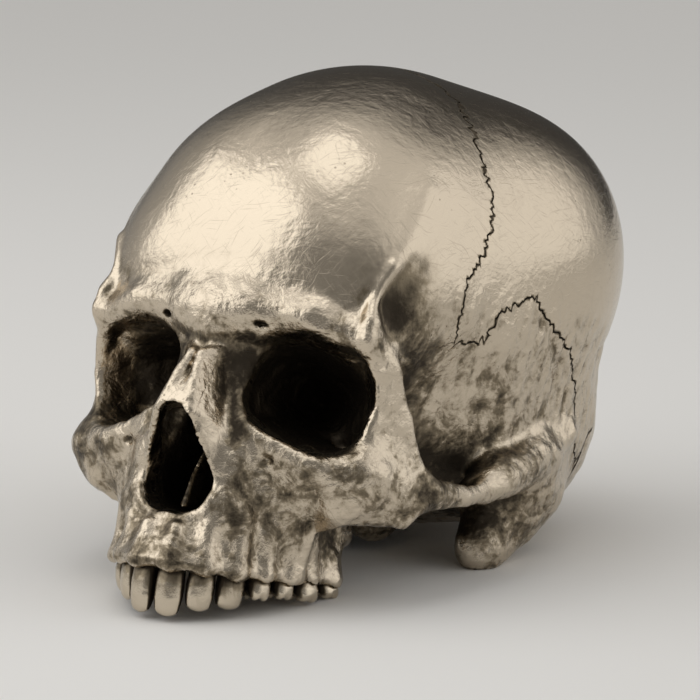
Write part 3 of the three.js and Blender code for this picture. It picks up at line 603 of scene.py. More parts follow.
def netOf(volume, axes):
    # one point in each cell that the surface crosses, and four-cornered faces between them
    inside = volume < 0
    total = cornersInside(inside)
    cells = np.argwhere((total > 0) & (total < 8))
    number = np.full(total.shape, -1, np.int64)
    number[cells[:, 0], cells[:, 1], cells[:, 2]] = np.arange(len(cells))
    place = np.zeros((len(cells), 3))
    weight = np.zeros(len(cells))
    for n, ca in enumerate(cellCorners):
        for cb in cellCorners[n + 1:]:
            if sum(abs(ca[k] - cb[k]) for k in range(3)) != 1:
                continue
            va, vb = (volume[cells[:, 0] + c[0], cells[:, 1] + c[1], cells[:, 2] + c[2]] for c in (ca, cb))
            crossed = (va < 0) != (vb < 0)
            t = np.where(crossed, va / np.where(crossed, va - vb, 1), 0)
            place += (np.array(ca) + t[:, None] * (np.array(cb) - np.array(ca))) * crossed[:, None]
            weight += crossed
    step = axes[0][1] - axes[0][0]
    points = (cells + place / weight[:, None]) * step + np.array([a[0] for a in axes])
    faces = []
    for axis in range(3):
        u, v = (axis + 1) % 3, (axis + 2) % 3
        a, b = (window(inside, [by if k == axis else None for k in range(3)]) for by in (0, 1))
        for where, flip in ((a & ~b, False), (~a & b, True)):
            at = np.argwhere(where)
            at = at[(at[:, u] > 0) & (at[:, v] > 0)]
            at = at[(at[:, u] < total.shape[u]) & (at[:, v] < total.shape[v])]
            ring = []
            for du, dv in ((-1, -1), (0, -1), (0, 0), (-1, 0)):
                cell = at.copy()
                cell[:, u] += du
                cell[:, v] += dv
                ring.append(number[cell[:, 0], cell[:, 1], cell[:, 2]])
            faces.append(np.stack(ring[::-1] if flip else ring, 1))
    return points, np.concatenate(faces)


def slopeOf(form, points, reach=0.12):
    turns = []
    for off in np.eye(3, dtype=np.float32) * np.float32(reach):
        turns.append((measured(form, points + off) - measured(form, points - off)) / (2 * reach))
    return np.stack(turns, 1)


def settled(form, points, step, turns=2):
    # moves the points of the net onto the surface
    start = points.copy()
    for _ in range(turns):
        slope = slopeOf(form, points)
        size = np.maximum((slope ** 2).sum(1), 0.25)
        move = -measured(form, points)[:, None] * slope / size[:, None]
        points = points + move
        points = start + np.clip(points - start, -0.6 * step, 0.6 * step)
    return points


def placed(name, data):
    made = bpy.data.objects.new(name, data)
    bpy.context.scene.collection.objects.link(made)
    return made


def meshObject(name, points, faces):
    mesh = bpy.data.meshes.new(name)
    mesh.vertices.add(len(points))
    mesh.vertices.foreach_set("co", np.asarray(points, np.float32).ravel())
    mesh.loops.add(faces.size)
    mesh.loops.foreach_set("vertex_index", faces.astype(np.int32).ravel())
    mesh.polygons.add(len(faces))
    mesh.polygons.foreach_set("loop_start", np.arange(0, faces.size, faces.shape[1], dtype=np.int32))
    mesh.update(calc_edges=True)
    mesh.validate()
    return placed(name, mesh)


def netted(form, low, high, step, bothSides=False):
    # points and faces of a form between two corners, from a net with the given spacing
    volume, axes = sampled(form, low, high, step)
    volume = mended(volume)
    if bothSides:
        volume = np.concatenate([volume[:0:-1], volume])
        axes[0] = np.concatenate([-axes[0][:0:-1], axes[0]])
    points, faces = netOf(volume, axes)
    return settled(form, points, step), faces


shell = meshObject("shell", *netted(hollowSkull, *casting["space"], casting["grain"], True))
print("shell:", len(shell.data.vertices), "points", len(shell.data.polygons), "faces")


# Sutures: where the casting is parted into bones. The lines are seen from the side [y, z], from
# above [x, y] or from the front [x, z]; the third number is how far the line is toothed there.
sutures = {
    "gap": 0.56,  # where the line shows
    "fineGap": 0.04,  # where it doesn't
    "opens": (0.4, 0.3),  # how far toothed the line is where it begins to show, and over how much
    "stride": 1.15,  # between two points of a toothed line
    "plainStride": 12,
    "overlap": 0.02,
    "frontal": [
        (-7, 152, 1.3), (-9, 127, 1.3), (-13, 121, 1.3), (-15, 116, 1.3), (-19, 110, 1.2), (-22.5, 102, 1.2),
        (-25, 94.5, 1.3), (-26, 88, 1.2), (-27, 83, 1.2), (-28, 77, 1.2), (-31, 71, 1.1), (-33, 66, 1.0),
        (-36.5, 61, 0.9), (-40.5, 57, 0.8), (-41.5, 51, 0.7), (-40.5, 43, 0.7), (-38, 38, 0.5), (-48, 33, 0.3),
        (-56, 26, 0.2), (-64, 24, 0), (-120, 27, 0), (-120, 152, 0),
    ],
    "parietal": [
        (-60, 152, 0), (-60, 38, 0), (-38, 38, 0.5), (-36.5, 37.5, 1.0), (-30, 39, 1.4), (-24.5, 41, 1.6),
        (-25.5, 45, 1.4), (-23, 49, 1.4), (-17, 53, 1.4), (-11, 56, 1.0), (-8, 57, 0.8), (-4, 53, 0.8),
        (6, 48, 1.0), (19, 43.5, 1.0), (27, 37, 0.9), (33, 31, 0.9), (36, 18, 0.8), (47, 9.5, 1.2),
        (58, 27, 1.6), (66, 45, 1.7), (76, 64, 1.7), (84, 82, 1.7), (120, 92, 0), (120, 152, 0),
    ],
    "temporal": [
        (-34, 62, 0), (60, 62, 0), (48, 6, 0.9), (40, -12, 0.8), (28, -46, 0.4), (-34, -46, 0),
    ],
    "occipital": [(-2, 130, 0), (120, 130, 0), (120, -80, 0), (-2, -80, 0)],
    "nasal": [(7, 4, 0.1), (6.6, 14, 0.35), (5.2, 28.5, 0.4)],
    "cheekAbove": [
        (32, -112, 0), (34, -72, 0.4), (41, -60, 0.4), (47, -54, 0.3), (54, -47, 0.2), (57.4, -28, 0.5),
        (90, -31, 0), (90, -112, 0),
    ],
    "cheekFront": [
        (33, 40, 0), (32, -2, 0.4), (36, -8, 0.4), (41, -15, 0.4), (47, -26, 0), (90, -26, 0), (90, 40, 0),
    ],
    "jawAbove": [
        (-50, -130, 0), (50, -130, 0), (50, -64, 0.3), (26, -56, 0.2), (-26, -56, 0.2), (-50, -64, 0.3),
    ],
    "jawBelow": [(-130, -2, 0), (-40, -2, 0), (-40, -80, 0), (-130, -80, 0)],
    "temporalInner": 30,
    "nasalBack": -75,
}
lineOfSight = {"side": (1, 2, 0), "above": (0, 1, 2), "front": (0, 2, 1)}
# the face along the middle: its spacing, how far it reaches along y and z, and its teeth
middle = {"stride": 1.25, "field": ((-125, 126), (-80, 156)), "toothed": 0.15, "crownToothed": 1.2}
everywhere = (-95, 95)  # from side to side


def plug(tree, node, inputs):
    # joins each input to a socket or sets it to a value
    for key, value in inputs.items():
        if isinstance(value, bpy.types.NodeSocket):
            tree.links.new(value, node.inputs[key])
        elif value is not None:
            node.inputs[key].default_value = value


def nodeIn(tree, kind, inputs, **settings):
    node = tree.nodes.new(kind)
    for name, value in settings.items():
        setattr(node, name, value)
    plug(tree, node, inputs)
    return node


def mathNode(tree, operation, a, b=None, clamp=False):
    return nodeIn(tree, "ShaderNodeMath", {0: a, 1: b}, operation=operation, use_clamp=clamp).outputs[0]


def toothedTree():
    # moves each point of a cutter out by its own random share of the reach
    tree = bpy.data.node_groups.new("Toothed suture", "GeometryNodeTree")
    sockets = (("Geometry", "Geometry"), ("Reach", "Float"), ("Seed", "Int"), ("Material", "Material"))
    for name, kind in sockets:
        tree.interface.new_socket(name, in_out="INPUT", socket_type="NodeSocket" + kind)
    tree.interface.new_socket("Geometry", in_out="OUTPUT", socket_type="NodeSocketGeometry")
    start = tree.nodes.new("NodeGroupInput").outputs
    chance = nodeIn(tree, "FunctionNodeRandomValue", {2: -1, 3: 1, "Seed": start["Seed"]}, data_type="FLOAT")
    toothed = nodeIn(tree, "GeometryNodeInputNamedAttribute", {"Name": "toothed"})
    outwards = nodeIn(tree, "GeometryNodeInputNamedAttribute", {"Name": "outwards"}, data_type="FLOAT_VECTOR")
    share = mathNode(tree, "MULTIPLY", chance.outputs[1], toothed.outputs["Attribute"])
    amount = mathNode(tree, "MULTIPLY", share, start["Reach"])
    move = nodeIn(tree, "ShaderNodeVectorMath", {0: outwards.outputs["Attribute"], "Scale": amount},
                  operation="SCALE")
    place = nodeIn(tree, "GeometryNodeSetPosition",
                   {"Geometry": start["Geometry"], "Offset": move.outputs[0]})
    real = nodeIn(tree, "GeometryNodeRealizeInstances", {"Geometry": place.outputs["Geometry"]})
    paint = nodeIn(tree, "GeometryNodeSetMaterial",
                   {"Geometry": real.outputs["Geometry"], "Material": start["Material"]})
    nodeIn(tree, "NodeGroupOutput", {"Geometry": paint.outputs["Geometry"]})
    return tree


toothedSuture = toothedTree()
seamMetal = bpy.data.materials.new("seamMetal")


def resultOf(thing):
    # what its modifiers make of an object, as a new plain object
    graph = bpy.context.evaluated_depsgraph_get()
    return placed(thing.name, bpy.data.meshes.new_from_object(thing.evaluated_get(graph)))


def usedUp(*things):
    for thing in things:
        bpy.data.objects.remove(thing)


def giveValues(mesh, name, values):
    kind, field = ("FLOAT_VECTOR", "vector") if values.ndim == 2 else ("FLOAT", "value")
    mesh.attributes.new(name, kind, "POINT").data.foreach_set(field, values.astype(np.float32).ravel())


def withTeeth(thing, outwards, toothed, seed):
    # the cutter with its points moved outwards or inwards, each by its own share of the reach
    giveValues(thing.data, "outwards", outwards)
    giveValues(thing.data, "toothed", toothed)
    modifier = thing.modifiers.new("nodes", "NODES")
    modifier.node_group = toothedSuture
    ids = {s.name: s.identifier for s in toothedSuture.interface.items_tree if s.in_out == "INPUT"}
    for name, value in (("Reach", 1.0), ("Seed", seed), ("Material", seamMetal)):
        modifier[ids[name]] = value
    made = resultOf(thing)
    usedUp(thing)
    return made


def turnOutwards(bm, mesh):
    bmesh.ops.recalc_face_normals(bm, faces=bm.faces)
    bm.to_mesh(mesh)
    bm.free()


def halfGap(opened):
    return (sutures["fineGap"] + (sutures["gap"] - sutures["fineGap"]) * opened) / 2


def cutter(view, line, between, side, seed, stations):
    # a prism on a line, toothed where the line says so
    line = np.array(line, float)
    steps = []
    for a, b in zip(line, np.roll(line, -1, 0)):
        toothed = max(a[2], b[2]) > 0 and min(a[2], b[2]) >= 0 and a[2] > 0
        length = math.hypot(b[0] - a[0], b[1] - a[1])
        count = max(1, round(length / sutures["stride" if toothed else "plainStride"]))
        steps.append(a + (b - a) * (np.arange(count) / count)[:, None])
    ring = np.concatenate(steps)
    area = (ring[:, 0] * np.roll(ring[:, 1], -1) - np.roll(ring[:, 0], -1) * ring[:, 1]).sum()
    before = ring[:, :2] - np.roll(ring[:, :2], 1, 0)
    after = np.roll(ring[:, :2], -1, 0) - ring[:, :2]
    sides = [np.stack([d[:, 1], -d[:, 0]], 1) / np.linalg.norm(d, axis=1)[:, None] for d in (before, after)]
    outwards = (sides[0] + sides[1]) / 2 * np.sign(area)
    outwards /= np.maximum((outwards ** 2).sum(1), 0.4)[:, None]
    opened = np.clip((ring[:, 2] - sutures["opens"][0]) / sutures["opens"][1], 0, 1)
    grow = (side * halfGap(opened))[None, :]
    more = side * sutures["overlap"]
    levels = np.linspace(between[0] - more, between[1] + more, stations)
    u, v, w = lineOfSight[view]
    points, direction = np.zeros((2, stations, len(ring), 3))
    for n, axis in enumerate((u, v)):
        points[:, :, axis] = ring[None, :, n] + outwards[None, :, n] * grow
        direction[:, :, axis] = outwards[None, :, n]
    points[:, :, w] = levels[:, None]
    bm = bmesh.new()
    rings = [[bm.verts.new(c) for c in level] for level in points]
    count = len(ring)
    for low, high in zip(rings, rings[1:]):
        for n in range(count):
            m = (n + 1) % count
            bm.faces.new((low[n], low[m], high[m], high[n]))
    bm.faces.new(rings[0][::-1])
    bm.faces.new(rings[-1])
    made = placed("cutter", bpy.data.meshes.new("cutter"))
    turnOutwards(bm, made.data)
    return withTeeth(made, direction.reshape(-1, 3), np.tile(ring[:, 2], stations), seed)


def middleCutter(side, seed):
    # everything on one side of the middle, with a toothed face along it that opens over the crown
    y, z = np.meshgrid(*(np.arange(*ends, middle["stride"]) for ends in middle["field"]), indexing="ij")
    rows, columns = y.shape
    crown = (np.clip((z - 55) / 10, 0, 1) * np.clip((y + 14) / 6, 0, 1)).ravel()
    near = np.stack([side * halfGap(crown), y.ravel(), z.ravel()], -1)
    far = near.copy()
    far[:, 0] = side * everywhere[1]
    number = np.arange(rows * columns).reshape(rows, columns)
    quads = np.stack([number[:-1, :-1], number[1:, :-1], number[1:, 1:], number[:-1, 1:]], -1).reshape(-1, 4)
    rim = np.concatenate([number[0, :-1], number[:-1, -1], number[-1, :0:-1], number[:0:-1, 0]])
    walls = np.stack([rim, np.roll(rim, -1), np.roll(rim, -1) + rows * columns, rim + rows * columns], 1)
    made = meshObject("middle", np.concatenate([near, far]), np.concatenate(
        [quads, quads[:, ::-1] + rows * columns, walls]))
    bm = bmesh.new()
    bm.from_mesh(made.data)
    turnOutwards(bm, made.data)
    toothed = np.concatenate([middle["toothed"] + middle["crownToothed"] * crown, np.zeros(len(far))])
    return withTeeth(made, np.tile(np.array([1, 0, 0]), (len(toothed), 1)), toothed, seed)


def mirrored(thing):
    thing.data.transform(Matrix.Scale(-1, 4, (1, 0, 0)))
    thing.data.flip_normals()
    return thing


def worked(thing, tool, operation):
    # the thing with the tool cut from it or shared with it, as a new object
    modifier = thing.modifiers.new("cut", "BOOLEAN")
    modifier.operation = operation
    modifier.solver = "MANIFOLD"
    modifier.material_mode = "TRANSFER"
    modifier.object = tool
    made = resultOf(thing)
    thing.modifiers.remove(modifier)
    return made


def parted(whole, make):
    # the part inside a cutter a little inside its line, and the rest outside one a little outside
    inner, outer = make(-1), make(1)
    piece, rest = worked(whole, inner, "INTERSECT"), worked(whole, outer, "DIFFERENCE")
    usedUp(whole, inner, outer)
    return piece, rest


def both(operation, *tools):
    made = worked(*tools, operation)
    usedUp(*tools)
    return made


def largestBody(thing):
    bm = bmesh.new()
    bm.from_mesh(thing.data)
    seen, bodies = set(), []
    for start in bm.verts:
        if start.index in seen:
            continue
        seen.add(start.index)
        body, front = [start], [start]
        while front:
            fresh = []
            for vert in front:
                for edge in vert.link_edges:
                    other = edge.other_vert(vert)
                    if other.index not in seen:
                        seen.add(other.index)
                        fresh.append(other)
            body += fresh
            front = fresh
        bodies.append(body)
    bodies.sort(key=len)
    bmesh.ops.delete(bm, geom=[v for body in bodies[:-1] for v in body], context="VERTS")
    bm.to_mesh(thing.data)
    bm.free()
    return len(bodies)


shell.data.materials.append(bpy.data.materials.new("castMetal"))
bones = {}


def sideCutter(name, seed, stations, between=everywhere):
    return lambda m: cutter("side", sutures[name], between, m, seed, stations)


def nasalCutter(m):
    line = [(-x, z, t) for x, z, t in sutures["nasal"]][::-1] + sutures["nasal"]
    return cutter("front", line, (-130, sutures["nasalBack"]), m, 3, 2)


def cheekCutter(m):
    return both("INTERSECT", cutter("above", sutures["cheekAbove"], (-80, 80), m, 14, 2),
                cutter("front", sutures["cheekFront"], (-130, 40), m, 15, 2))


def jawCutter(m):
    return both("UNION", cutter("above", sutures["jawAbove"], (-90, 60), m, 17, 2),
                cutter("side", sutures["jawBelow"], everywhere, m, 18, 2))


temporalCutter = sideCutter("temporal", 8, 2, (sutures["temporalInner"], 95))
nasals, rest = parted(shell, nasalCutter)
bones["frontal_bone"], rest = parted(rest, sideCutter("frontal", 11, 110))
vault, rest = parted(rest, sideCutter("parietal", 5, 90))
print("vault parted")
for name, make in (
        ("temporal_left", temporalCutter), ("temporal_right", lambda m: mirrored(temporalCutter(m))),
        ("occipital_bone", sideCutter("occipital", 9, 2)),
        ("zygomatic_left", cheekCutter), ("zygomatic_right", lambda m: mirrored(cheekCutter(m)))):
    bones[name], rest = parted(rest, make)
jaws, bones["sphenoid"] = parted(rest, jawCutter)
halves = {"_left": middleCutter(1, 21), "_right": middleCutter(-1, 21)}
for pair, name in ((nasals, "nasal"), (vault, "parietal"), (jaws, "maxilla")):
    for side, half in halves.items():
        bones[name + side] = worked(pair, half, "INTERSECT")
    usedUp(pair)
usedUp(*halves.values())
for name, bone in bones.items():
    bodies = largestBody(bone)


# Teeth, each with its peg in a socket of the jaw
smallPieces = {}
for spot in spots:
    x, y = spot["place"]
    beside, below, above = casting["toothRoom"]
    low = (x - beside, y - beside, spot["neck"] - spot["crown"] - below)
    high = (x + beside, y + beside, spot["neck"] + above)
    points, faces = netted(lambda p: toothHere(p, spot), low, high, casting["toothGrain"])
    for side, turn in (("_left", 1), ("_right", -1)):
        flip = np.array([turn, 1, 1], np.float32)

        def crownForm(p, spot=spot, flip=flip):
            return toothHere(p * flip, spot)

        smallPieces[spot["name"] + side] = (points * flip, faces[:, ::turn], crownForm)

# The thin plate that stands in the middle of the nose
septum = {
    "line": [(-86.5, -24), (-84.5, -14), (-79, -4), (-70, 2), (-52, 4), (-52, -24)],
    "half": 0.7,
    "foot": 0.5,
    "lean": 1.4,
    "clear": 0.35,
    "grain": 0.7,
    "space": ((-6, -92, -30), (6, -46, 8)),
}


def farFromLine(y, z, line):
    # how far outside a closed line each place lies, negative inside it
    best = np.full(len(y), 1e9, np.float32)
    inside = np.zeros(len(y), bool)
    for (ay, az), (by, bz) in zip(line, line[1:] + line[:1]):
        t = np.clip(((y - ay) * (by - ay) + (z - az) * (bz - az)) / ((by - ay) ** 2 + (bz - az) ** 2), 0, 1)
        best = np.minimum(best, np.hypot(y - ay - t * (by - ay), z - az - t * (bz - az)))
        inside ^= ((az > z) != (bz > z)) & (y < (by - ay) * (z - az) / (bz - az + 1e-9) + ay)
    return np.where(inside, -best, best)


def septumPlate(p):
    x, y, z = p.T
    bow = septum["lean"] * np.sin((z + 26) / 9) * np.clip((y + 90) / 12, 0, 1)
    side = np.abs(x - bow) - septum["half"] - septum["foot"] * np.exp(-(((z + 24) / 4) ** 2))
    depth = keepBoth(side, farFromLine(y, z, septum["line"]), 1.2)
    return np.maximum(depth, noseHollow(p) + septum["clear"])


smallPieces["vomer"] = (*netted(septumPlate, *septum["space"], septum["grain"]), septumPlate)
print("teeth and septum done")


relief = {
    "cells": (9, 4.2, 2.3),  # sizes of the lumps on the face, millimetres
    "heights": (0.5, 0.38, 0.18),
    "stain": 0.4,
    # how much shade is painted between the teeth
    "between": 0.8,
    "strokes": (0.5, 0.42, 0.13),  # how often the upright strokes of the temple come
    "strokeHeight": 0.6,
    "reaches": (1.5, 4, 10, 22),  # how far it is felt round each point for the painted shade of a recess
    "shares": (0.2, 0.28, 0.28, 0.24),
    "proudReaches": ((1.5, 0.4), (4, 0.6)),
    "sharp": 48,  # degrees between faces
    # lines along which shade is painted: behind the brow, and beside the nose
    "paintedShade": [([(49, -60, 46), (52, -52, 28), (53, -47, 12), (55, -40, 0)], 14, 0.4),
             ([(8, -82, 24), (10, -85, 12), (12.5, -86, 2)], 6, 0.4),
             ([(57, -32, 14), (60, -14, 26), (62, 4, 24)], 22, 0.15)],
}


def scattered(i, j, k):
    # a fixed random number from 0 to 1 for each corner of a lattice
    mixed = (i * 73856093) ^ (j * 19349663) ^ (k * 83492791)
    mixed = (mixed ^ (mixed >> 13)) * 1274126177
    return ((mixed ^ (mixed >> 16)) & 0xFFFF) / 65535.0


def clouds(p, cell):
    q = p / cell
    base = np.floor(q).astype(np.int64)
    t = q - base
    t = t * t * (3 - 2 * t)
    total = 0
    for corner in cellCorners:
        share = 1
        for axis, far in enumerate(corner):
            share = share * (t[:, axis] if far else 1 - t[:, axis])
        total = total + share * scattered(*(base[:, axis] + far for axis, far in enumerate(corner)))
    return total * 2 - 1


def fade(value, low, high):
    t = np.clip((value - low) / (high - low), 0, 1)
    return t * t * (3 - 2 * t)


def ruggedness(p):
    # the face and the cheeks are rough, the forehead and the crown are polished
    x, y, z = p.T
    face = fade(z, 54, 32) * fade(y, -38, -52)
    side = 0.85 * fade(z, 62, 45) * fade(np.abs(x), 40, 52) * fade(y, -52, -40)
    below = fade(z, 12, 0)
    return np.maximum(np.maximum(face, side), below) * 0.9 + 0.1


def lumps(p):
    calm = 1 - 0.7 * fade(p[:, 2], -22, -30)  # the bone over the teeth is smoother
    temple = fade(p[:, 1], -52, -42) * fade(p[:, 2], 2, 12)
    strokes = clouds(p * np.array(relief["strokes"], np.float32), 1.0) * relief["strokeHeight"] * temple
    return strokes + calm * (1 - 0.4 * temple) * sum(
        height * clouds(p, cell) for cell, height in zip(relief["cells"], relief["heights"]))


def recessOf(points, normals, own):
    # painted shade and patina in the recesses: how far into a recess each point lies, felt by how near the
    # surface lies round it, 0 in the open, 1 at the bottom
    total = np.zeros(len(points), np.float32)
    for reach, share in zip(relief["reaches"], relief["shares"]):
        away = measured(hollowSkull, points + normals * reach)
        if own is not hollowSkull:
            away = np.minimum(away, measured(own, points + normals * reach)) + 0.3
        total += share * np.clip(1 - away / reach, 0, 1.3)
    q = folded(points)
    sunk = (q - np.array(orbit["centre"])) @ intoOrbit
    # painted shade deep in the orbits, in the opening of the nose and on the inner side of the shell
    inOrbit = (np.abs(orbitHollow(q.astype(np.float32))) < 2) * fade(sunk, 8, 20)
    inNose = (np.abs(noseHollow(q.astype(np.float32))) < 2) * fade(q[:, 1], -90, -80)
    inside = fade(measured(wholeSkull, points), -1.5, -3)
    # painted shade in soft bands along the given lines
    paintedShade = sum(deep * np.exp(-((farFrom(q, line) / width) ** 2)) for line, width, deep in relief["paintedShade"])
    return np.maximum.reduce([total + paintedShade, inOrbit, inNose * 0.9, inside])


def shadeBetweenTeeth(points, normals):
    # 1 where a crown faces its neighbour, where shade is painted between the teeth
    acrossX = points[:, 0] / dentalArch["halfWidth"] ** 2
    acrossY = np.minimum(points[:, 1] - dentalArch["centre"], 0) / dentalArch["depth"] ** 2
    facing = np.abs(normals[:, 1] * acrossX - normals[:, 0] * acrossY) / np.hypot(acrossX, acrossY)
    return fade(facing, 0.6, 0.97)


def proudOf(points, normals, form):
    # how far a point stands out, such as on a rim or a ridge
    total = 0
    for reach, share in relief["proudReaches"]:
        under = -measured(form, points - normals * reach)
        total = total + share * np.clip(1 - under / reach, 0, 1)
    return total


def readAll(items, field, kind, each=1):
    values = np.zeros(len(items) * each, kind)
    items.foreach_get(field, values)
    return values


def seamOf(mesh, points):
    # 1 on the faces of a suture, apart from the ones that the real casting has closed
    seam = np.zeros(len(points), np.float32)
    kinds = readAll(mesh.polygons, "material_index", np.int32)
    names = [m.name for m in mesh.materials]
    if "seamMetal" in names:
        loops = readAll(mesh.loops, "vertex_index", np.int32)
        sizes = readAll(mesh.polygons, "loop_total", np.int32)
        seam[loops[np.repeat(kinds == names.index("seamMetal"), sizes)]] = 1
        seam *= fade(points[:, 1], -50, -42) * fade(points[:, 2], 0, 8)
        seam *= 1 - fade(points[:, 2], 38.5, 37) * fade(points[:, 1], -29, -31)
    return seam


def finished(thing, node, finish, own=hollowSkull):
    mesh = thing.data
    points = readAll(mesh.vertices, "co", np.float32, 3).reshape(-1, 3)
    slope = slopeOf(own, points, 0.4)
    normals = slope / np.maximum(np.linalg.norm(slope, axis=1), 1e-3)[:, None]
    on = np.abs(measured(own, points)) < 0.25
    # painted shade and patina where a point lies on the surface; points off it are fully dark
    recess = np.where(on, recessOf(points, normals, own), 1)
    # the plate inside the nose is painted wholly in shade
    if own is septumPlate:
        recess = np.maximum(recess, 1)
    # painted shade between the teeth
    if finish is toothMetal:
        recess = recess + relief["between"] * shadeBetweenTeeth(points, normals)
    rugged = ruggedness(points)
    low = lumps(points) * (rugged - 0.1)  # patina stays in the hollows of the lumps
    recess = recess + relief["stain"] * np.clip(-low, -0.3, 0.35) * on
    for name, values in (("recess", recess), ("rugged", rugged), ("seam", seamOf(mesh, points)),
                         ("proud", proudOf(points, normals, wholeSkull if own is hollowSkull else own))):
        giveValues(mesh, name, values)
    if own is hollowSkull:
        points = points + normals * (low * on * fade(aboveGround(points), 0.3, 2))[:, None]
    mesh.vertices.foreach_set("co", (toStand(points) / 1000).astype(np.float32).ravel())
    mesh.polygons.foreach_set("material_index", np.zeros(len(mesh.polygons), np.int32))
    mesh.materials.clear()
    mesh.materials.append(finish)
    mesh.polygons.foreach_set("use_smooth", np.ones(len(mesh.polygons), bool))
    mesh.update()
    mesh.set_sharp_from_angle(angle=math.radians(relief["sharp"]))
    thing.name = mesh.name = "cast_" + node
    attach(thing, "root")
    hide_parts(node)
    return thing


boneMetal, toothMetal = (bpy.data.materials.new(name) for name in ("boneMetal", "toothMetal"))
for name, bone in bones.items():
    finished(bone, name, boneMetal)
for name, (points, faces, own) in smallPieces.items():
    metal, slot = (boneMetal, "antique_metal") if name == "vomer" else (toothMetal, "tooth_metal")
    finished(meshObject(name, points, faces), name, metal, own)
print("pieces placed")

# Camera at the photograph's angle
camera = {"azimuth": 29.67, "elevation": -3.2, "roll": 8.58, "away": 1000, "focus": 3135.2, "image": 700,
          "about": (0, -20, 35), "shift": (9.6, -3.2), "sensor": 36}


def towards(azimuth, elevation):
    # azimuth from the front of the face, both in radians
    return Vector((math.sin(azimuth) * math.cos(elevation), -math.cos(azimuth) * math.cos(elevation),
                   math.sin(elevation)))


def placeCamera():
    azimuth, elevation, roll = (math.radians(camera[k]) for k in ("azimuth", "elevation", "roll"))
    back = towards(azimuth, elevation)
    level = Vector((math.cos(azimuth), math.sin(azimuth), 0))
    upright = back.cross(level)
    right = math.cos(roll) * level + math.sin(roll) * upright
    up = math.cos(roll) * upright - math.sin(roll) * level
    place = Vector(camera["about"]) + camera["shift"][0] * right + camera["shift"][1] * up
    place = place + camera["away"] * back
    tilt = Matrix.Rotation(-math.radians(casting["tilt"]), 3, "X")
    place = tilt @ place + Vector((0, *casting["place"]))
    data = bpy.data.cameras.new("camera")
    data.sensor_width = camera["sensor"]
    data.lens = camera["sensor"] * camera["focus"] / camera["image"]
    data.clip_end = 50
    made = placed("camera", data)
    turn = Matrix((tilt @ right, tilt @ up, tilt @ back)).transposed()
    made.matrix_world = Matrix.Translation(place / 1000) @ turn.to_4x4()
    bpy.context.scene.camera = made


placeCamera()
finishes = {
    # bright metal, and dark for patina and for painted shade
    "bone": {"bright": (0.605, 0.522, 0.41), "dark": (0.052, 0.042, 0.031),
             "blotches": 1.0, "pits": 0.5, "bumps": 0.0013},
    "tooth": {"bright": (0.62, 0.54, 0.425), "dark": (0.04, 0.031, 0.022),
              "blotches": 0.4, "pits": 0.2, "bumps": 0.0005},
    "between": (0.24, 0.197, 0.137),  # colour where the patina and the painted shade are thin
    "betweenAt": 0.45,
    "rough": (0.19, 0.52),  # bright metal and patina
    "scratches": 0.8,
    "scratchColour": 0.09,
    "scratchDepth": 0.014,
    "pitColour": 0.6,
    "pitDepth": 0.1,
}
noises = {
    # scale, detail, roughness, distortion
    "blotch": (95, 7, 0.68, 1.1),
    "fine": (450, 4, 0.62),
    "dents": (170, 2, 0.5, 0.6),
    "cloud": (22, 3, 0.5),
    "pitted": (70, 2),
}


def sumsIn(tree):
    # adding, taking away and multiplying in this tree
    return [lambda a, b, clamp=False, kind=kind: mathNode(tree, kind, a, b, clamp)
            for kind in ("ADD", "SUBTRACT", "MULTIPLY")]


def ranged(tree, value, low, high, toLow, toHigh, smooth=True):
    return nodeIn(tree, "ShaderNodeMapRange", {
        "Value": value, "From Min": low, "From Max": high, "To Min": toLow, "To Max": toHigh,
    }, interpolation_type="SMOOTHSTEP" if smooth else "LINEAR").outputs["Result"]


def noiseOn(tree, place, scale, detail=3, rough=0.55, distortion=0.0):
    return nodeIn(tree, "ShaderNodeTexNoise", {
        "Vector": place, "Scale": scale, "Detail": detail, "Roughness": rough, "Distortion": distortion,
    }).outputs["Fac"]


def newGroup(name, inputs, outputs):
    tree = bpy.data.node_groups.new(name, "ShaderNodeTree")
    for socket, value in inputs.items():
        tree.interface.new_socket(socket, in_out="INPUT", socket_type="NodeSocketFloat").default_value = value
    for socket in outputs:
        tree.interface.new_socket(socket, in_out="OUTPUT", socket_type="NodeSocketFloat")
    start, end = tree.nodes.new("NodeGroupInput"), tree.nodes.new("NodeGroupOutput")
    return tree, start.outputs, end.inputs, tree.nodes.new("ShaderNodeTexCoord").outputs["Object"]


def patinaAndShadeGroup():
    # dark patina and painted shade: painted shade and patina in the recesses, patina in the seams and in
    # blotches on rough metal, all of it less on what stands out, where the patina is rubbed off
    tree, start, end, place = newGroup("PatinaAndShade", {"Blotches": 1.0, "Rubbed": 0.6}, ("PatinaAndShade", "Height"))
    add, less, times = sumsIn(tree)
    felt = {name: nodeIn(tree, "ShaderNodeAttribute", {}, attribute_name=name).outputs["Fac"]
            for name in ("recess", "proud", "rugged", "seam")}
    names = ("blotch", "fine", "dents", "cloud")
    blotch, fine, dents, cloud = (noiseOn(tree, place, *noises[name]) for name in names)
    swing = less(add(times(blotch, 0.65), times(fine, 0.35)), 0.5)
    swing = add(swing, times(less(cloud, 0.5), 0.5))
    swing = times(swing, times(start["Blotches"], add(felt["rugged"], 0.2)))
    depth = add(felt["recess"], times(swing, 1.8))
    depth = add(depth, times(felt["rugged"], 0.13))
    depth = less(depth, times(felt["proud"], start["Rubbed"]))
    patinaAndShade = mathNode(tree, "MAXIMUM", ranged(tree, depth, 0.05, 0.7, 0, 1), times(felt["seam"], 0.9))
    tree.links.new(patinaAndShade, end["PatinaAndShade"])
    rough = add(times(dents, 0.6), times(fine, 0.32))
    calm = less(1.0, times(felt["proud"], 0.8), True)  # rims are rubbed smooth
    tree.links.new(times(rough, times(calm, add(felt["rugged"], 0.2))), end["Height"])
    return tree


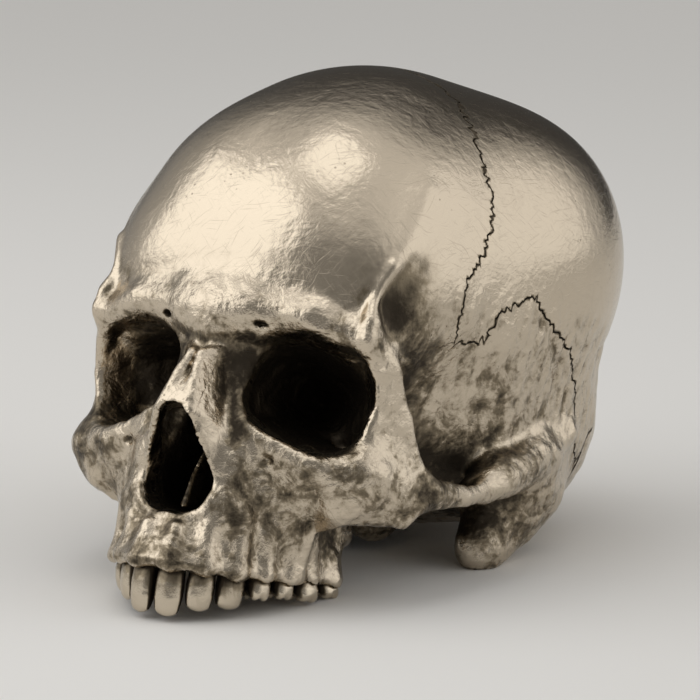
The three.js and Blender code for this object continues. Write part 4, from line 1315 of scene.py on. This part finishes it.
hairlines = {
    "wander": 35,
    "bend": 0.012,
    "across": (0.66, 0.76),
    # how each layer is turned, and how often its lines come along x, y and z
    "layers": [((0, 0.8, 0.3), (4200, 85, 85)), ((0, -0.75, 0.35), (4600, 100, 100)),
               ((0, 0.1, -0.6), (3900, 80, 80)), ((0, 1.35, -0.5), (4400, 90, 90))],
    "pits": 420,
}


def scratchGroup():
    # hairline scratches that cross each other, and small pits
    tree, start, end, place = newGroup("Scratches", {"Scratches": 0.5, "Pits": 0.5}, ("Scratches", "Pits"))
    times = sumsIn(tree)[2]
    wander = nodeIn(tree, "ShaderNodeTexNoise", {"Vector": place, "Scale": hairlines["wander"]})
    bent = nodeIn(tree, "ShaderNodeVectorMath", {
        0: wander.outputs["Color"], 1: [hairlines["bend"]] * 3, 2: place}, operation="MULTIPLY_ADD")
    total = None
    for turn, often in hairlines["layers"]:
        size = [1 / k for k in often]
        mapping = nodeIn(tree, "ShaderNodeMapping", {
            "Vector": bent.outputs[0], "Rotation": turn, "Scale": size}, vector_type="TEXTURE")
        lines = ranged(tree, noiseOn(tree, mapping.outputs[0], 1, 1, 0.5), *hairlines["across"], 0, 1)
        total = lines if total is None else mathNode(tree, "MAXIMUM", total, lines)
    tree.links.new(times(total, start["Scratches"]), end["Scratches"])
    cells = nodeIn(tree, "ShaderNodeTexVoronoi", {"Vector": place, "Scale": hairlines["pits"]})
    dots = ranged(tree, cells.outputs["Distance"], 0.08, 0.2, 1, 0)
    some = ranged(tree, noiseOn(tree, place, *noises["pitted"]), 0.56, 0.7, 0, 1)
    tree.links.new(times(times(dots, some), start["Pits"]), end["Pits"])
    return tree


patinaAndShadeNodes, scratchNodes = patinaAndShadeGroup(), scratchGroup()


def antiqueMetal(material, finish):
    material.use_nodes = True
    tree = material.node_tree
    add, less, times = sumsIn(tree)
    patinaAndShade = nodeIn(tree, "ShaderNodeGroup", {"Blotches": finish["blotches"]}, node_tree=patinaAndShadeNodes).outputs
    scratch = nodeIn(tree, "ShaderNodeGroup", {"Scratches": finishes["scratches"], "Pits": finish["pits"]},
                     node_tree=scratchNodes).outputs
    lines, pits = scratch["Scratches"], scratch["Pits"]
    # the colour darkens with painted shade and patina, and with scratches and pits
    wearPatinaAndShade = add(patinaAndShade["PatinaAndShade"], times(lines, finishes["scratchColour"]), True)
    wearPatinaAndShade = add(wearPatinaAndShade, times(pits, finishes["pitColour"]), True)
    colour = nodeIn(tree, "ShaderNodeValToRGB", {"Fac": wearPatinaAndShade})
    stops = colour.color_ramp.elements
    stops[0].color, stops[1].color = (*finish["bright"], 1), (*finish["dark"], 1)
    stops.new(finishes["betweenAt"]).color = (*finishes["between"], 1)
    height = less(patinaAndShade["Height"], times(lines, finishes["scratchDepth"]))
    height = less(height, times(pits, finishes["pitDepth"]))
    bump = nodeIn(tree, "ShaderNodeBump", {"Strength": 1, "Distance": finish["bumps"], "Height": height})
    plug(tree, tree.nodes["Principled BSDF"], {
        "Metallic": 1, "Base Color": colour.outputs["Color"], "Normal": bump.outputs["Normal"],
        "Roughness": ranged(tree, wearPatinaAndShade, 0, 1, *finishes["rough"], False)})


antiqueMetal(boneMetal, finishes["bone"])
antiqueMetal(toothMetal, finishes["tooth"])

# Floor and lights
studio = {
    "floor": (0.86, 0.85, 0.83),
    "floorRough": 0.9,
    "floorRadius": 9,
    "lamps": [
        # name, azimuth, elevation, distance, width, height, brightness as seen
        ("key", -46, 36, 1.3, 1.5, 1.2, 0.75),
        ("right", 116, 24, 1.4, 1.3, 1.0, 0.2),
        ("top", -20, 86, 1.3, 0.9, 0.7, 0.62),
    ],
    "aim": (0, 0, 0.08),
    # brightness of the room round the object: azimuth from the front, level
    "round": [(-180, 0.05), (-142, 0.06), (-118, 0.3), (-95, 0.42), (-75, 0.62), (-12, 0.62), (-6, 0.26),
              (62, 0.24), (78, 0.6), (92, 0.85), (140, 0.8), (156, 0.45), (168, 0.08), (180, 0.05)],
    "overhead": 0.75,
    "overheadFrom": (0.6, 0.97),
    "tint": (1.0, 0.985, 0.96),
}


def tinted(level):
    return (*(level * c for c in studio["tint"]), 1)


def layFloor():
    bm = bmesh.new()
    bmesh.ops.create_circle(bm, cap_ends=True, segments=96, radius=studio["floorRadius"])
    mesh = bpy.data.meshes.new("floor")
    bm.to_mesh(mesh)
    bm.free()
    paper = bpy.data.materials.new("paper")
    paper.use_nodes = True
    plug(paper.node_tree, paper.node_tree.nodes["Principled BSDF"], {
        "Base Color": (*studio["floor"], 1), "Roughness": studio["floorRough"]})
    mesh.materials.append(paper)
    placed("floor", mesh)


def hangLamp(name, azimuth, elevation, away, width, height, brightness):
    lamp = bpy.data.lights.new(name, "AREA")
    lamp.shape = "RECTANGLE"
    lamp.size, lamp.size_y = width, height
    lamp.energy = brightness * 4 * width * height
    thing = placed(name, lamp)
    direction = towards(math.radians(azimuth), math.radians(elevation))
    thing.location = Vector(studio["aim"]) + direction * away
    thing.rotation_euler = direction.to_track_quat("Z", "Y").to_euler()
    thing.visible_camera = False


def paintRoom():
    world = bpy.data.worlds.new("studio")
    world.use_nodes = True
    bpy.context.scene.world = world
    tree = world.node_tree
    outlook = nodeIn(tree, "ShaderNodeTexCoord", {}).outputs["Generated"]
    split = nodeIn(tree, "ShaderNodeSeparateXYZ", {0: outlook}).outputs
    turn = mathNode(tree, "ARCTAN2", split["X"], mathNode(tree, "MULTIPLY", split["Y"], -1))
    ring = nodeIn(tree, "ShaderNodeValToRGB", {"Fac": ranged(tree, turn, -math.pi, math.pi, 0, 1, False)})
    ends = {-180: 0, 180: -1}
    for azimuth, level in studio["round"]:
        stops = ring.color_ramp.elements
        stop = stops[ends[azimuth]] if azimuth in ends else stops.new((azimuth + 180) / 360)
        stop.color = tinted(level)
    over = tree.nodes.new("ShaderNodeMix")
    over.data_type = "RGBA"
    sockets = {socket.identifier: socket for socket in (*over.inputs, *over.outputs)}
    sockets["B_Color"].default_value = tinted(studio["overhead"])
    tree.links.new(ring.outputs["Color"], sockets["A_Color"])
    tree.links.new(ranged(tree, split["Z"], *studio["overheadFrom"], 0, 1), sockets["Factor_Float"])
    tree.links.new(sockets["Result_Color"], tree.nodes["Background"].inputs["Color"])


layFloor()
for row in studio["lamps"]:
    hangLamp(*row)
paintRoom()
bpy.context.scene.view_settings.view_transform = "Standard"
